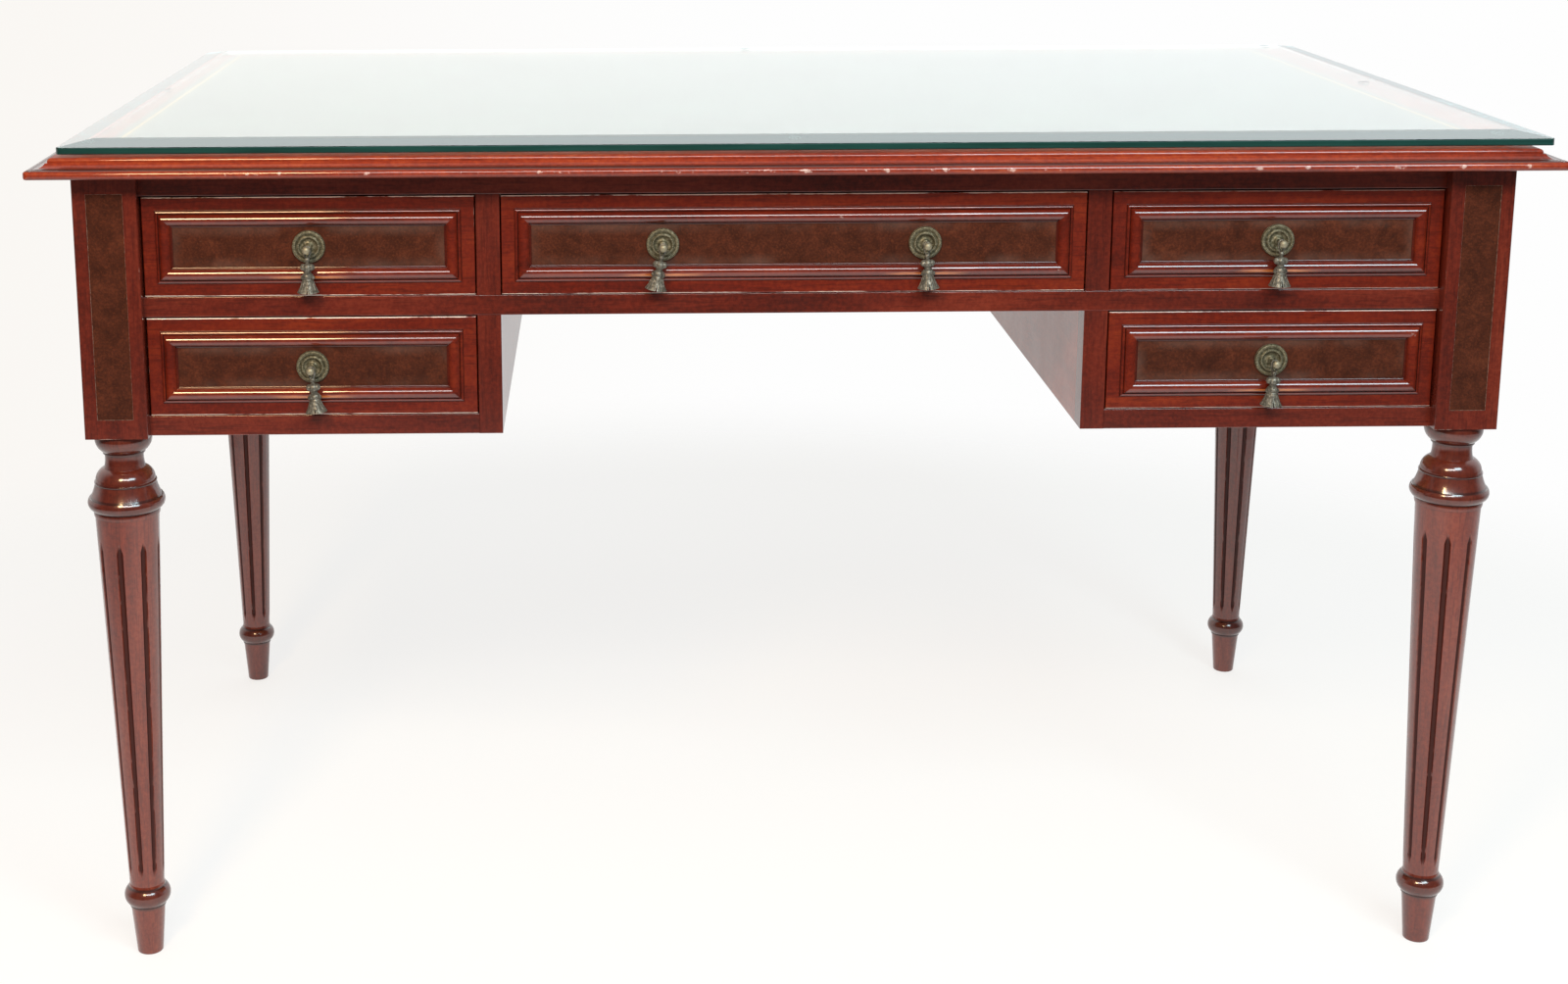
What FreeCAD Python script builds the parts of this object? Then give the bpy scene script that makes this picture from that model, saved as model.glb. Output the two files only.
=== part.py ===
import FreeCAD, Part
import math
import os

# Writing desk with five drawers round a kneehole, four turned legs and a moulded top under plate glass.
# Millimetres. The front faces -Y, +X is the viewer's right, +Z is up and the floor is z = 0.
# The origin lies on the floor under the middle of the top.

V = FreeCAD.Vector
ORIGIN = V(0, 0, 0)
X_AXIS = V(1, 0, 0)
Y_AXIS = V(0, 1, 0)
Z_AXIS = V(0, 0, 1)

# Top
DESK_WIDTH = 1320.0
DESK_DEPTH = 800.0
TOP_THICK = 16.5
TOP_OVERHANG = 33.0        # nose of the top edge to the outer face of a post
TOP_CORNER_ROUND = 5.0
EDGE_BEAD = 3.0            # quarter-round bead along the top arris
EDGE_FILLET = 1.0          # upright below the bead
EDGE_LEDGE = 1.5           # flat ledge that starts the cove
EDGE_COVE_RUN = 9.5
EDGE_COVE_DROP = 4.2
EDGE_QUIRK = 0.8           # small step between cove and nose
EDGE_NOSE_RUN = 6.2
NOSE_UNDERCUT = 5.0        # nose to the flat underside
WOOD_BORDER = 62.0         # nose of the top edge to the leather
LEATHER_THICK = 1.5
GLASS_SIDE_INSET = 15.0    # nose of the top edge to the glass at the sides
GLASS_FRONT_INSET = 20.5   # and at the front and the back
GLASS_THICK = 10.5
GLASS_BEVEL_WIDTH = 28.0
GLASS_BEVEL_DROP = 4.5
GLASS_ARRIS = 0.9          # polished arris along the edge
GLASS_CORNER_ROUND = 7.0
GLASS_SHIFT = 9.0          # the loose plate lies a little to the right
GLASS_PAD_THICK = 2.5
GLASS_PAD_RADIUS = 6.0

# Body
LEG_HEIGHT = 507.0         # floor to the underside of the posts
RAIL_HEIGHT = 18.0         # bottom and middle rails
TOP_RAIL_HEIGHT = 21.5
OPENING_HEIGHT = 90.0      # one drawer opening
POST_WIDTH = 56.0
POST_ROUND = 1.5
POST_PROJECTION = 12.0     # posts stand out from rails and panels
STILE_WIDTH = 21.0
KNEEHOLE_WIDTH = 515.0
FRAME_THICK = 24.0         # rails and stiles, front to back
FRAME_ROUND = 0.6
PANEL_THICK = 18.0
INLAY_WIDTH = 32.0
INLAY_END_MARGIN = 17.5
INLAY_POCKET = 1.2
VENEER_THICK = 0.8
PANEL_MOULDING_MARGIN = 24.0

# Legs
TENON_RADIUS = 12.5
TENON_LENGTH = 40.0
TENON_CLEARANCE = 0.2
FLUTE_COUNT = 8
FLUTE_TOP_RADIUS = 3.0
FLUTE_LOW_RADIUS = 2.3
FLUTE_OFFSET = 0.5         # axis of a flute outside the face of the shaft
FLUTE_POINT = 12.0         # length of the pointed ends
FLUTE_LOW_GAP = 6.0        # plain shaft below the flutes
FLUTE_TOP_GAP = 19.0       # plain shaft above the flutes
FLUTE_TURN = {"front_left": -6.0, "front_right": -16.4, "rear_left": 0.0, "rear_right": 10.0}

# Turned members of a leg from the floor up: height, then radius at the bottom, half way and at the top.
# The shaft takes the height that the others leave.
LEG_MEMBERS_BELOW = (
    (1.2, 10.9, 11.7, 12.0),     # eased edge of the foot
    (45.8, 12.0, 13.9, 15.8),    # foot
    (2.5, 16.6, 16.8, 16.6),     # fillet
    (17.5, 17.0, 21.4, 17.2),    # lower ring
    (3.0, 17.0, 16.7, 16.2),     # step to the shaft
)
SHAFT_LOW_RADIUS = 16.0
SHAFT_TOP_RADIUS = 28.5
SHAFT_BANDS = 14           # even bands that the shaft is turned in
LEG_MEMBERS_ABOVE = (
    (6.0, 29.2, 29.6, 29.2),     # fillet
    (11.0, 31.0, 34.4, 32.8),    # main ring
    (13.0, 31.8, 29.0, 27.2),    # hollow slope
    (1.5, 27.6, 27.8, 27.6),     # lip
    (12.5, 26.6, 25.4, 18.9),    # collar
    (13.5, 18.4, 17.2, 17.4),    # neck
    (2.5, 18.8, 19.0, 18.8),     # fillet
    (16.5, 20.0, 25.2, 24.4),    # bead under the post
)

# Drawers
DRAWER_DEPTH = 520.0
FRONT_THICK = 20.0
FRONT_GAP = 1.2            # at the sides and the top of a drawer front
FRONT_LIFT = 0.5           # gap under a drawer front
FRONT_ROUND = 0.8
SIDE_THICK = 12.0
SIDE_HEADROOM = 5.7        # drawer side to the rail above
SIDE_LIFT = 0.3            # drawer side above its runner
BOTTOM_THICK = 6.0
BOTTOM_RISE = 8.0          # drawer bottom above the lower edge of the sides
BOTTOM_GROOVE = 6.0
BACK_HOUSING = 4.0
TAIL_COUNT = 3
TAIL_LENGTH = 12.0
TAIL_ROOT = 15.0
TAIL_TIP = 20.0
LEDGE_WIDTH = 16.0         # runner inside the opening
GUIDE_HEIGHT = 20.0
STOP_LENGTH = 20.0
STOP_CLEARANCE = 0.3
STOP_HEIGHT = 12.0

# Applied moulding
MOULDING_MARGIN = 11.5     # edge of a drawer front to the moulding
MOULDING_WIDTH = 15.0
MOULDING_HEIGHT = 6.5
OUTER_ROUND_WIDTH = 2.6
OUTER_ROUND_HEIGHT = 2.4
OUTER_ROUND_SWELL = 0.6    # bulge of the outer round beyond a straight line
QUIRK_WIDTH = 0.7
QUIRK_LEVEL = 1.2          # bottom of the groove beside the big bead
BIG_BEAD_ROOT = 2.0        # where the big bead springs from
INNER_LIP_WIDTH = 1.6
INNER_LIP_FLAT = 0.5
INNER_LIP_HEIGHT = 1.6
INNER_LIP_SWELL = 0.2

# Drop pulls
CENTRE_PULL_OFFSET = 115.0
ROSETTE_RADIUS = 14.5
RIM_WIDTH = 3.4
RIM_EDGE = 1.4             # upright edge of the rim
RIM_HEIGHT = 3.0
GROOVE_WIDTH = 0.8
GROOVE_FLOOR = 2.0
RING_WIDTH = 2.8
RING_HEIGHT = 3.3
DISH_FLOOR = 0.9
BOSS_RADIUS = 3.0
BOSS_HEIGHT = 3.0
PEG_RADIUS = 1.3
PEG_CLEARANCE = 0.2
PEG_END = 1.0              # peg past its nut
PULL_STANDOFF = 14.0       # drawer face to the plane of the hanging loop
KNOB_NECK = 4.2            # plane of the loop to the back of the knob
KNOB_LENGTH = 4.4
KNOB_RADIUS = 3.7
KNOB_BACK_RADIUS = 2.4
KNOB_SWELL = 1.35          # back of the knob to its widest line
KNOB_GROOVES = 9
KNOB_GROOVE_RADIUS = 0.75
KNOB_GROOVE_OFFSET = 0.1   # axis of a groove outside the widest line
NUT_RADIUS = 4.5
NUT_THICK = 3.0
WIRE_RADIUS = 0.9
LOOP_RADIUS = 2.8
LOOP_STRAIGHT = 3.0
LOOP_TAPER = 4.0
LOOP_FOOT = 0.8            # half width of the loop where it enters the tassel
LOOP_CLEARANCE = 0.35
HEAD_BEAD_RADIUS = 2.4
HEAD_BEAD_LENGTH = 3.5
STEM_RADIUS = 1.6
STEM_LENGTH = 1.6
KNOT_RADIUS = 4.4
KNOT_LENGTH = 7.0
KNOT_LOBE_RADIUS = 3.1
KNOT_LOBE_OFFSET = 3.3
NECK_RADIUS = 3.0
NECK_LENGTH = 1.8
BAND_RADIUS = 5.1
BAND_END_RADIUS = 4.4
BAND_LENGTH = 4.8
TIE_BALL_RADIUS = 2.1      # the two ends of the tie round the skirt
TIE_BALL_OFFSET = 4.1
SKIRT_TOP_RADIUS = 4.9
SKIRT_STEP = 1.0           # band to the skirt
SKIRT_RADIUS = 9.6
SKIRT_LENGTH = 11.0
SKIRT_SPLIT = 2.4          # width of the split at the foot of the skirt
SKIRT_SPLIT_RISE = 8.0     # height of the split
SKIRT_SAG = 0.5            # hollow of the flare below a straight line
SKIRT_CROWN = 1.2          # round underside
SKIRT_RIBS = 16
RIB_GROOVE_RADIUS = 0.55
TASSEL_LEAN = {
    "upper_left": 0.0,
    "centre_left": 10.0,
    "centre_right": -3.0,
    "upper_right": 0.0,
    "lower_left": -5.5,
    "lower_right": 2.5,
}

# Fixings
SCREW_RADIUS = 2.0
SCREW_CLEARANCE = 0.2
SCREW_HEAD_RADIUS = 4.0
SCREW_HEAD_DEPTH = 3.0
SCREW_BITE = 10.0          # length in the top board
SCREW_END_DISTANCE = 85.0  # from the ends of a kicker

# Levels and planes that follow from the sizes
POST_TOP = LEG_HEIGHT + 2 * RAIL_HEIGHT + TOP_RAIL_HEIGHT + 2 * OPENING_HEIGHT
BOARD_TOP = POST_TOP + TOP_THICK
LOWER_OPENING = LEG_HEIGHT + RAIL_HEIGHT
MIDDLE_RAIL = LOWER_OPENING + OPENING_HEIGHT
UPPER_OPENING = MIDDLE_RAIL + RAIL_HEIGHT
TOP_RAIL = UPPER_OPENING + OPENING_HEIGHT
BODY_X = DESK_WIDTH / 2 - TOP_OVERHANG
BODY_Y = DESK_DEPTH / 2 - TOP_OVERHANG
POST_X = BODY_X - POST_WIDTH
POST_Y = BODY_Y - POST_WIDTH
FACE_Y = -(BODY_Y - POST_PROJECTION)
FRAME_BACK = FACE_Y + FRAME_THICK
BACK_FACE = BODY_Y - POST_PROJECTION
BACK_INNER = BACK_FACE - PANEL_THICK
SIDE_FACE = BODY_X - POST_PROJECTION
SIDE_INNER = SIDE_FACE - PANEL_THICK
KNEEHOLE_X = KNEEHOLE_WIDTH / 2
STILE_X = KNEEHOLE_X + STILE_WIDTH
KNEEHOLE_WALL = KNEEHOLE_X + PANEL_THICK
SIDE_OPENING_WIDTH = POST_X - STILE_X
SIDE_OPENING_MIDDLE = (POST_X + STILE_X) / 2
DRAWER_BACK = FACE_Y + DRAWER_DEPTH
SIDE_HEIGHT = OPENING_HEIGHT - SIDE_LIFT - SIDE_HEADROOM
LEATHER_X = DESK_WIDTH / 2 - WOOD_BORDER
LEATHER_Y = DESK_DEPTH / 2 - WOOD_BORDER
PEG_HOLE_RADIUS = PEG_RADIUS + PEG_CLEARANCE
SCREW_HOLE_RADIUS = SCREW_RADIUS + SCREW_CLEARANCE
LOOP_APEX = PEG_RADIUS + LOOP_CLEARANCE + WIRE_RADIUS
TASSEL_HEAD = LOOP_RADIUS + LOOP_STRAIGHT + LOOP_TAPER
SIDES = {"left": -1, "right": 1}


# Building blocks

def box(x, y, z):
    """Box between two values on each axis, given in any order."""
    low = V(min(x), min(y), min(z))
    return Part.makeBox(abs(x[1] - x[0]), abs(y[1] - y[0]), abs(z[1] - z[0]), low)


def rod(radius, start, end):
    """Round bar between two points."""
    return Part.makeCylinder(radius, (end - start).Length, start, end - start)


def face(loop, place):
    """Flat face inside a loop of lines (two points) and arcs (three points) on a plane."""
    edges = []
    for points in loop:
        spots = [place(*point) for point in points]
        edges.append(Part.makeLine(*spots) if len(spots) == 2 else Part.Arc(*spots).toShape())
    return Part.Face(Part.Wire(edges))


def chain(points):
    """Segments that join points in order and close the loop."""
    return list(zip(points, points[1:] + points[:1]))


def turned(loop):
    """Solid of revolution about Z from a loop of (radius, height) segments."""
    return face(loop, lambda radius, height: V(radius, 0, height)).revolve(ORIGIN, Z_AXIS, 360)


def outward(shape, x, z):
    """A shape built on +Z, turned to stand out of the drawer face to the front at (x, z)."""
    shape.rotate(ORIGIN, X_AXIS, 90)
    shape.translate(V(x, FACE_Y, z))
    return shape


def edges_on_front(shape, y):
    """Straight edges that lie on the plane at y."""
    return [edge for edge in shape.Edges if all(abs(v.Point.y - y) < 1e-6 for v in edge.Vertexes)]


def edges_along(shape, axis):
    """Straight edges that run along an axis."""
    return [edge for edge in shape.Edges if abs(edge.tangentAt(edge.FirstParameter).dot(axis)) > 0.999]


def export(name, *solids):
    """Write one node, as a group where it holds several solids."""
    shape = solids[0] if len(solids) == 1 else Part.makeCompound(list(solids))
    shape.exportStep("parts/" + name + ".step")


# Top board, leather and glass

def moulded_slab(width, depth, corner_round, edge_section):
    """Slab with the same moulded edge on four sides, mitred at the corners, which are a little rounded."""
    def symmetric(half):
        right = edge_section(half)
        left = [tuple((-u, v) for u, v in reversed(part)) for part in reversed(right)]
        return [(left[-1][-1], right[0][0])] + right + [(right[-1][-1], left[0][0])] + left

    across = face(symmetric(width / 2), lambda u, v: V(u, -depth, v)).extrude(V(0, 2 * depth, 0))
    along = face(symmetric(depth / 2), lambda u, v: V(-width, u, v)).extrude(V(2 * width, 0, 0))
    slab = across.common(along)
    block = box((-width / 2, width / 2), (-depth / 2, depth / 2), (slab.BoundBox.ZMin, slab.BoundBox.ZMax))
    return slab.common(block.makeFillet(corner_round, edges_along(block, Z_AXIS)))


def top_edge_section(nose):
    """Edge of the top from its upper arris down: bead, fillet, cove, quirk, nose and flat underside."""
    cove_end = nose - EDGE_NOSE_RUN - EDGE_QUIRK
    cove_start = cove_end - EDGE_COVE_RUN
    bead = cove_start - EDGE_LEDGE
    fillet_top = BOARD_TOP - EDGE_BEAD
    ledge = fillet_top - EDGE_FILLET
    quirk = ledge - EDGE_COVE_DROP
    nose_top = quirk - EDGE_QUIRK
    round_part = EDGE_BEAD * (1 - math.sqrt(0.5))
    bow = (cove_start + 0.3 * EDGE_COVE_RUN, ledge - 0.7 * EDGE_COVE_DROP)
    nose_tip = (nose, (nose_top + POST_TOP) / 2)
    return [
        ((bead - EDGE_BEAD, BOARD_TOP), (bead - round_part, BOARD_TOP - round_part), (bead, fillet_top)),
        ((bead, fillet_top), (bead, ledge)),
        ((bead, ledge), (cove_start, ledge)),
        ((cove_start, ledge), bow, (cove_end, quirk)),
        ((cove_end, quirk), (cove_end, nose_top)),
        ((cove_end, nose_top), (cove_end + EDGE_QUIRK, nose_top)),
        ((cove_end + EDGE_QUIRK, nose_top), nose_tip, (nose - NOSE_UNDERCUT, POST_TOP)),
    ]


def glass_edge_section(edge):
    """Edge of the plate: wide bevel above an upright polished land with small arrises."""
    low = BOARD_TOP + GLASS_PAD_THICK
    high = low + GLASS_THICK
    land = high - GLASS_BEVEL_DROP
    inner = edge - GLASS_ARRIS
    points = [
        (edge - GLASS_BEVEL_WIDTH, high),
        (inner, land),
        (edge, land - GLASS_ARRIS),
        (edge, low + GLASS_ARRIS),
        (inner, low),
    ]
    return list(zip(points, points[1:]))


def glass_pads():
    """Small discs on the wooden border that carry the glass."""
    x = (LEATHER_X + BODY_X) / 2
    y = (LEATHER_Y + BODY_Y) / 2
    spots = [(i * x, j * y) for i in (-1, 0, 1) for j in (-1, 0, 1) if (i, j) != (0, 0)]
    return [Part.makeCylinder(GLASS_PAD_RADIUS, GLASS_PAD_THICK, V(px, py, BOARD_TOP)) for px, py in spots]


def build_top(screw_spots):
    """Top board with its leather pocket and screw holes, leather, glass and pads."""
    board = moulded_slab(DESK_WIDTH, DESK_DEPTH, TOP_CORNER_ROUND, top_edge_section)
    leather = box((-LEATHER_X, LEATHER_X), (-LEATHER_Y, LEATHER_Y), (BOARD_TOP - LEATHER_THICK, BOARD_TOP))
    board = board.cut(leather)
    for x, y in screw_spots:
        depth = SCREW_BITE + SCREW_CLEARANCE
        board = board.cut(Part.makeCylinder(SCREW_HOLE_RADIUS, depth, V(x, y, POST_TOP)))
    glass_width = DESK_WIDTH - 2 * GLASS_SIDE_INSET
    glass_depth = DESK_DEPTH - 2 * GLASS_FRONT_INSET
    glass = moulded_slab(glass_width, glass_depth, GLASS_CORNER_ROUND, glass_edge_section)
    glass.translate(V(GLASS_SHIFT, 0, 0))
    export("top_board", board)
    export("leather_inset", leather)
    export("glass_plate", glass)
    export("glass_pads", *glass_pads())


# Legs and posts

def leg_section():
    """Loop of (radius, height) segments for a turned leg with its tenon."""
    above = sum(member[0] for member in LEG_MEMBERS_ABOVE)
    below = sum(member[0] for member in LEG_MEMBERS_BELOW)
    band = (LEG_HEIGHT - above - below) / SHAFT_BANDS
    taper = (SHAFT_TOP_RADIUS - SHAFT_LOW_RADIUS) / SHAFT_BANDS
    radii = [SHAFT_LOW_RADIUS + taper * index for index in range(SHAFT_BANDS + 1)]
    shaft = tuple((band, low, (low + high) / 2, high) for low, high in zip(radii, radii[1:]))
    loop = []
    here = (0, 0)
    level = 0
    for height, low, middle, high in LEG_MEMBERS_BELOW + shaft + LEG_MEMBERS_ABOVE:
        start = (low, level)
        end = (high, level + height)
        if start != here:
            loop.append((here, start))
        straight = abs(middle - (low + high) / 2) < 1e-6
        loop.append((start, end) if straight else (start, (middle, level + height / 2), end))
        level += height
        here = end
    tip = LEG_HEIGHT + TENON_LENGTH
    corners = [here, (TENON_RADIUS, LEG_HEIGHT), (TENON_RADIUS, tip), (0, tip), (0, 0)]
    return loop + list(zip(corners, corners[1:]))


def flute_cutter():
    """Pointed spindle that lies along the tapered shaft and cuts one flute."""
    low = sum(member[0] for member in LEG_MEMBERS_BELOW) + FLUTE_LOW_GAP
    high = LEG_HEIGHT - sum(member[0] for member in LEG_MEMBERS_ABOVE) - FLUTE_TOP_GAP
    shaft_low = low - FLUTE_LOW_GAP
    slope = (SHAFT_TOP_RADIUS - SHAFT_LOW_RADIUS) / (high + FLUTE_TOP_GAP - shaft_low)
    length = (high - low) * math.sqrt(1 + slope * slope)
    points = [(0, 0), (FLUTE_LOW_RADIUS, FLUTE_POINT), (FLUTE_TOP_RADIUS, length - FLUTE_POINT), (0, length)]
    cutter = turned(chain(points))
    cutter.rotate(ORIGIN, Y_AXIS, math.degrees(math.atan(slope)))
    cutter.translate(V(SHAFT_LOW_RADIUS + slope * FLUTE_LOW_GAP + FLUTE_OFFSET, 0, low))
    cutter.rotate(ORIGIN, Z_AXIS, -90)
    return cutter


def fluted_leg():
    """Leg on the Z axis with one flute facing the front."""
    leg = turned(leg_section())
    cutters = []
    for index in range(FLUTE_COUNT):
        cutter = flute_cutter()
        cutter.rotate(ORIGIN, Z_AXIS, 360.0 * index / FLUTE_COUNT)
        cutters.append(cutter)
    return leg.cut(Part.makeCompound(cutters))


def corner_post(x_side, y_side):
    """Square post with two inlay pockets and a socket for the leg, and its two inlays."""
    x = (x_side * POST_X, x_side * BODY_X)
    y = (y_side * POST_Y, y_side * BODY_Y)
    post = box(x, y, (LEG_HEIGHT, POST_TOP))
    post = post.makeFillet(POST_ROUND, edges_along(post, Z_AXIS))
    middle = V(sum(x) / 2, sum(y) / 2, LEG_HEIGHT)
    socket = Part.makeCylinder(TENON_RADIUS + TENON_CLEARANCE, TENON_LENGTH + TENON_CLEARANCE, middle)
    post = post.cut(socket)
    heights = (LEG_HEIGHT + INLAY_END_MARGIN, POST_TOP - INLAY_END_MARGIN)
    across_x = (middle.x - INLAY_WIDTH / 2, middle.x + INLAY_WIDTH / 2)
    across_y = (middle.y - INLAY_WIDTH / 2, middle.y + INLAY_WIDTH / 2)
    floor_x = x_side * (BODY_X - INLAY_POCKET)
    floor_y = y_side * (BODY_Y - INLAY_POCKET)
    post = post.cut(box(across_x, (floor_y, y_side * BODY_Y), heights))
    post = post.cut(box((floor_x, x_side * BODY_X), across_y, heights))
    inlays = [
        box(across_x, (floor_y, floor_y + y_side * VENEER_THICK), heights),
        box((floor_x, floor_x + x_side * VENEER_THICK), across_y, heights),
    ]
    return post, inlays


def build_legs_and_posts():
    """Four posts with their inlays on four turned legs."""
    pattern = fluted_leg()
    inlays = []
    for row, y_side in (("front", -1), ("rear", 1)):
        for side, x_side in SIDES.items():
            corner = row + "_" + side
            post, pair = corner_post(x_side, y_side)
            inlays += pair
            leg = pattern.copy()
            leg.rotate(ORIGIN, Z_AXIS, FLUTE_TURN[corner])
            leg.translate(V(x_side * (POST_X + BODY_X) / 2, y_side * (POST_Y + BODY_Y) / 2, 0))
            export("post_" + corner, post)
            export("leg_" + corner, leg)
    export("post_inlays", *inlays)


# Applied mouldings and veneer panels

def moulding_section():
    """Loop of (inward, outward) segments: outer round, groove, broad bead and rounded inner lip."""
    bead_start = OUTER_ROUND_WIDTH + QUIRK_WIDTH
    bead_end = MOULDING_WIDTH - INNER_LIP_WIDTH
    lip_bend = bead_end + INNER_LIP_FLAT
    round_middle = (OUTER_ROUND_WIDTH / 2 - OUTER_ROUND_SWELL, OUTER_ROUND_HEIGHT / 2 + OUTER_ROUND_SWELL)
    lip_middle = ((lip_bend + MOULDING_WIDTH) / 2 + INNER_LIP_SWELL,
                  (INNER_LIP_HEIGHT + VENEER_THICK) / 2 + INNER_LIP_SWELL)
    crest = ((bead_start + bead_end) / 2, MOULDING_HEIGHT)
    return [
        ((0, 0), round_middle, (OUTER_ROUND_WIDTH, OUTER_ROUND_HEIGHT)),
        ((OUTER_ROUND_WIDTH, OUTER_ROUND_HEIGHT), (OUTER_ROUND_WIDTH, QUIRK_LEVEL)),
        ((OUTER_ROUND_WIDTH, QUIRK_LEVEL), (bead_start, QUIRK_LEVEL)),
        ((bead_start, QUIRK_LEVEL), (bead_start, BIG_BEAD_ROOT)),
        ((bead_start, BIG_BEAD_ROOT), crest, (bead_end, BIG_BEAD_ROOT)),
        ((bead_end, BIG_BEAD_ROOT), (bead_end, INNER_LIP_HEIGHT)),
        ((bead_end, INNER_LIP_HEIGHT), (lip_bend, INNER_LIP_HEIGHT)),
        ((lip_bend, INNER_LIP_HEIGHT), lip_middle, (MOULDING_WIDTH, VENEER_THICK)),
        ((MOULDING_WIDTH, VENEER_THICK), (MOULDING_WIDTH, 0)),
        ((MOULDING_WIDTH, 0), (0, 0)),
    ]


def moulding_strip(length, reach):
    """Lower strip of a frame, mitred at both ends, on the plane y = 0 and standing out to -Y."""
    half = length / 2
    bar = face(moulding_section(), lambda u, v: V(-half, -v, u - reach)).extrude(V(length, 0, 0))
    inner = half - MOULDING_WIDTH
    rise = MOULDING_WIDTH - reach
    plan = chain([(-half, -reach), (half, -reach), (inner, rise), (-inner, rise)])
    mitre = face(plan, lambda u, v: V(u, 0, v)).extrude(V(0, -2 * MOULDING_HEIGHT, 0))
    return bar.common(mitre)


def moulding_frame(width, height):
    """Four mitred strips round a rectangle."""
    strips = []
    for length, reach, turns in ((width, height / 2, (0, 180)), (height, width / 2, (90, 270))):
        for turn in turns:
            strip = moulding_strip(length, reach)
            strip.rotate(ORIGIN, Y_AXIS, turn)
            strips.append(strip)
    return strips


def framed_panel(width, height, turn, centre):
    """Moulding strips and veneer sheet for an upright field, turned about Z and moved to centre."""
    strips = moulding_frame(width, height)
    half_x = width / 2 - MOULDING_WIDTH
    half_z = height / 2 - MOULDING_WIDTH
    sheet = box((-half_x, half_x), (-VENEER_THICK, 0), (-half_z, half_z))
    for piece in strips + [sheet]:
        piece.rotate(ORIGIN, Z_AXIS, turn)
        piece.translate(centre)
    return strips, sheet


# Front frame, sides and back

def build_front_frame():
    """Rails right across, stiles between them."""
    def frame_piece(x, z):
        piece = box(x, (FACE_Y, FRAME_BACK), z)
        long_way = X_AXIS if abs(x[1] - x[0]) > abs(z[1] - z[0]) else Z_AXIS
        front_edges = edges_on_front(piece, FACE_Y)
        chosen = [edge for edge in front_edges if abs(edge.tangentAt(0).dot(long_way)) > 0.999]
        return piece.makeFillet(FRAME_ROUND, chosen)

    across = (-POST_X, POST_X)
    export("front_top_rail", frame_piece(across, (TOP_RAIL, POST_TOP)))
    export("front_middle_rail", frame_piece(across, (MIDDLE_RAIL, UPPER_OPENING)))
    bottom_rails = []
    stiles = []
    for side in SIDES.values():
        bottom_rails.append(frame_piece((side * STILE_X, side * POST_X), (LEG_HEIGHT, LOWER_OPENING)))
        stiles.append(frame_piece((side * KNEEHOLE_X, side * STILE_X), (UPPER_OPENING, TOP_RAIL)))
        stiles.append(frame_piece((side * KNEEHOLE_X, side * STILE_X), (LEG_HEIGHT, MIDDLE_RAIL)))
    export("front_bottom_rails", *bottom_rails)
    export("front_stiles", *stiles)


def build_panels():
    """Side, kneehole and back panels with the framed fields on the outside."""
    full = (LEG_HEIGHT, POST_TOP)
    middle_z = (LEG_HEIGHT + POST_TOP) / 2
    margins = 2 * PANEL_MOULDING_MARGIN
    strips = []
    sheets = []
    backs = []
    for name, side in SIDES.items():
        export("side_panel_" + name, box((side * SIDE_INNER, side * SIDE_FACE), (-POST_Y, POST_Y), full))
        wall = box((side * KNEEHOLE_X, side * KNEEHOLE_WALL), (FRAME_BACK, BACK_INNER), full)
        export("kneehole_panel_" + name, wall)
        backs.append(box((side * KNEEHOLE_X, side * POST_X), (BACK_INNER, BACK_FACE), full))
        fields = (
            (2 * POST_Y - margins, 90 * side, V(side * SIDE_FACE, 0, middle_z)),
            (POST_X - KNEEHOLE_X - margins, 180, V(side * (POST_X + KNEEHOLE_X) / 2, BACK_FACE, middle_z)),
        )
        for width, turn, centre in fields:
            frame, sheet = framed_panel(width, POST_TOP - LEG_HEIGHT - margins, turn, centre)
            strips += frame
            sheets.append(sheet)
    backs.append(box((-KNEEHOLE_X, KNEEHOLE_X), (BACK_INNER, BACK_FACE), (MIDDLE_RAIL, POST_TOP)))
    centre = V(0, BACK_FACE, (MIDDLE_RAIL + POST_TOP) / 2)
    frame, sheet = framed_panel(KNEEHOLE_WIDTH - margins, POST_TOP - MIDDLE_RAIL - margins, 180, centre)
    export("back_panels", *backs)
    export("panel_mouldings", *(strips + frame))
    export("panel_veneers", *(sheets + [sheet]))


# Runners, kickers, stops and the screws that hold the top

def runner_lines():
    """Wall, opening edge, inward direction, start and end along Y of each line of runners."""
    lines = []
    for side in SIDES.values():
        lines.append((side * SIDE_INNER, side * POST_X, -side, -POST_Y, POST_Y))
        lines.append((side * KNEEHOLE_WALL, side * STILE_X, side, FRAME_BACK, BACK_INNER))
        lines.append((side * KNEEHOLE_X, side * KNEEHOLE_X, -side, FRAME_BACK, BACK_INNER))
    return lines


def runner_levels(wall):
    """Heights of the openings that a line of runners serves."""
    return (UPPER_OPENING,) if abs(wall) == KNEEHOLE_X else (LOWER_OPENING, UPPER_OPENING)


def screw_spots():
    """Places of the screws through the kickers into the top."""
    spots = []
    for wall, edge, inward, start, end in runner_lines():
        for y in (start + SCREW_END_DISTANCE, end - SCREW_END_DISTANCE):
            spots.append((edge + inward * LEDGE_WIDTH / 2, y))
    return spots


def top_screw(x, y):
    """Countersunk wood screw up through a kicker."""
    tip = POST_TOP + SCREW_BITE
    head = Part.makeCone(SCREW_HEAD_RADIUS, SCREW_RADIUS, SCREW_HEAD_DEPTH, V(x, y, TOP_RAIL))
    shank = rod(SCREW_RADIUS, V(x, y, TOP_RAIL + SCREW_HEAD_DEPTH), V(x, y, tip))
    return head.fuse(shank).removeSplitter()


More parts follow.
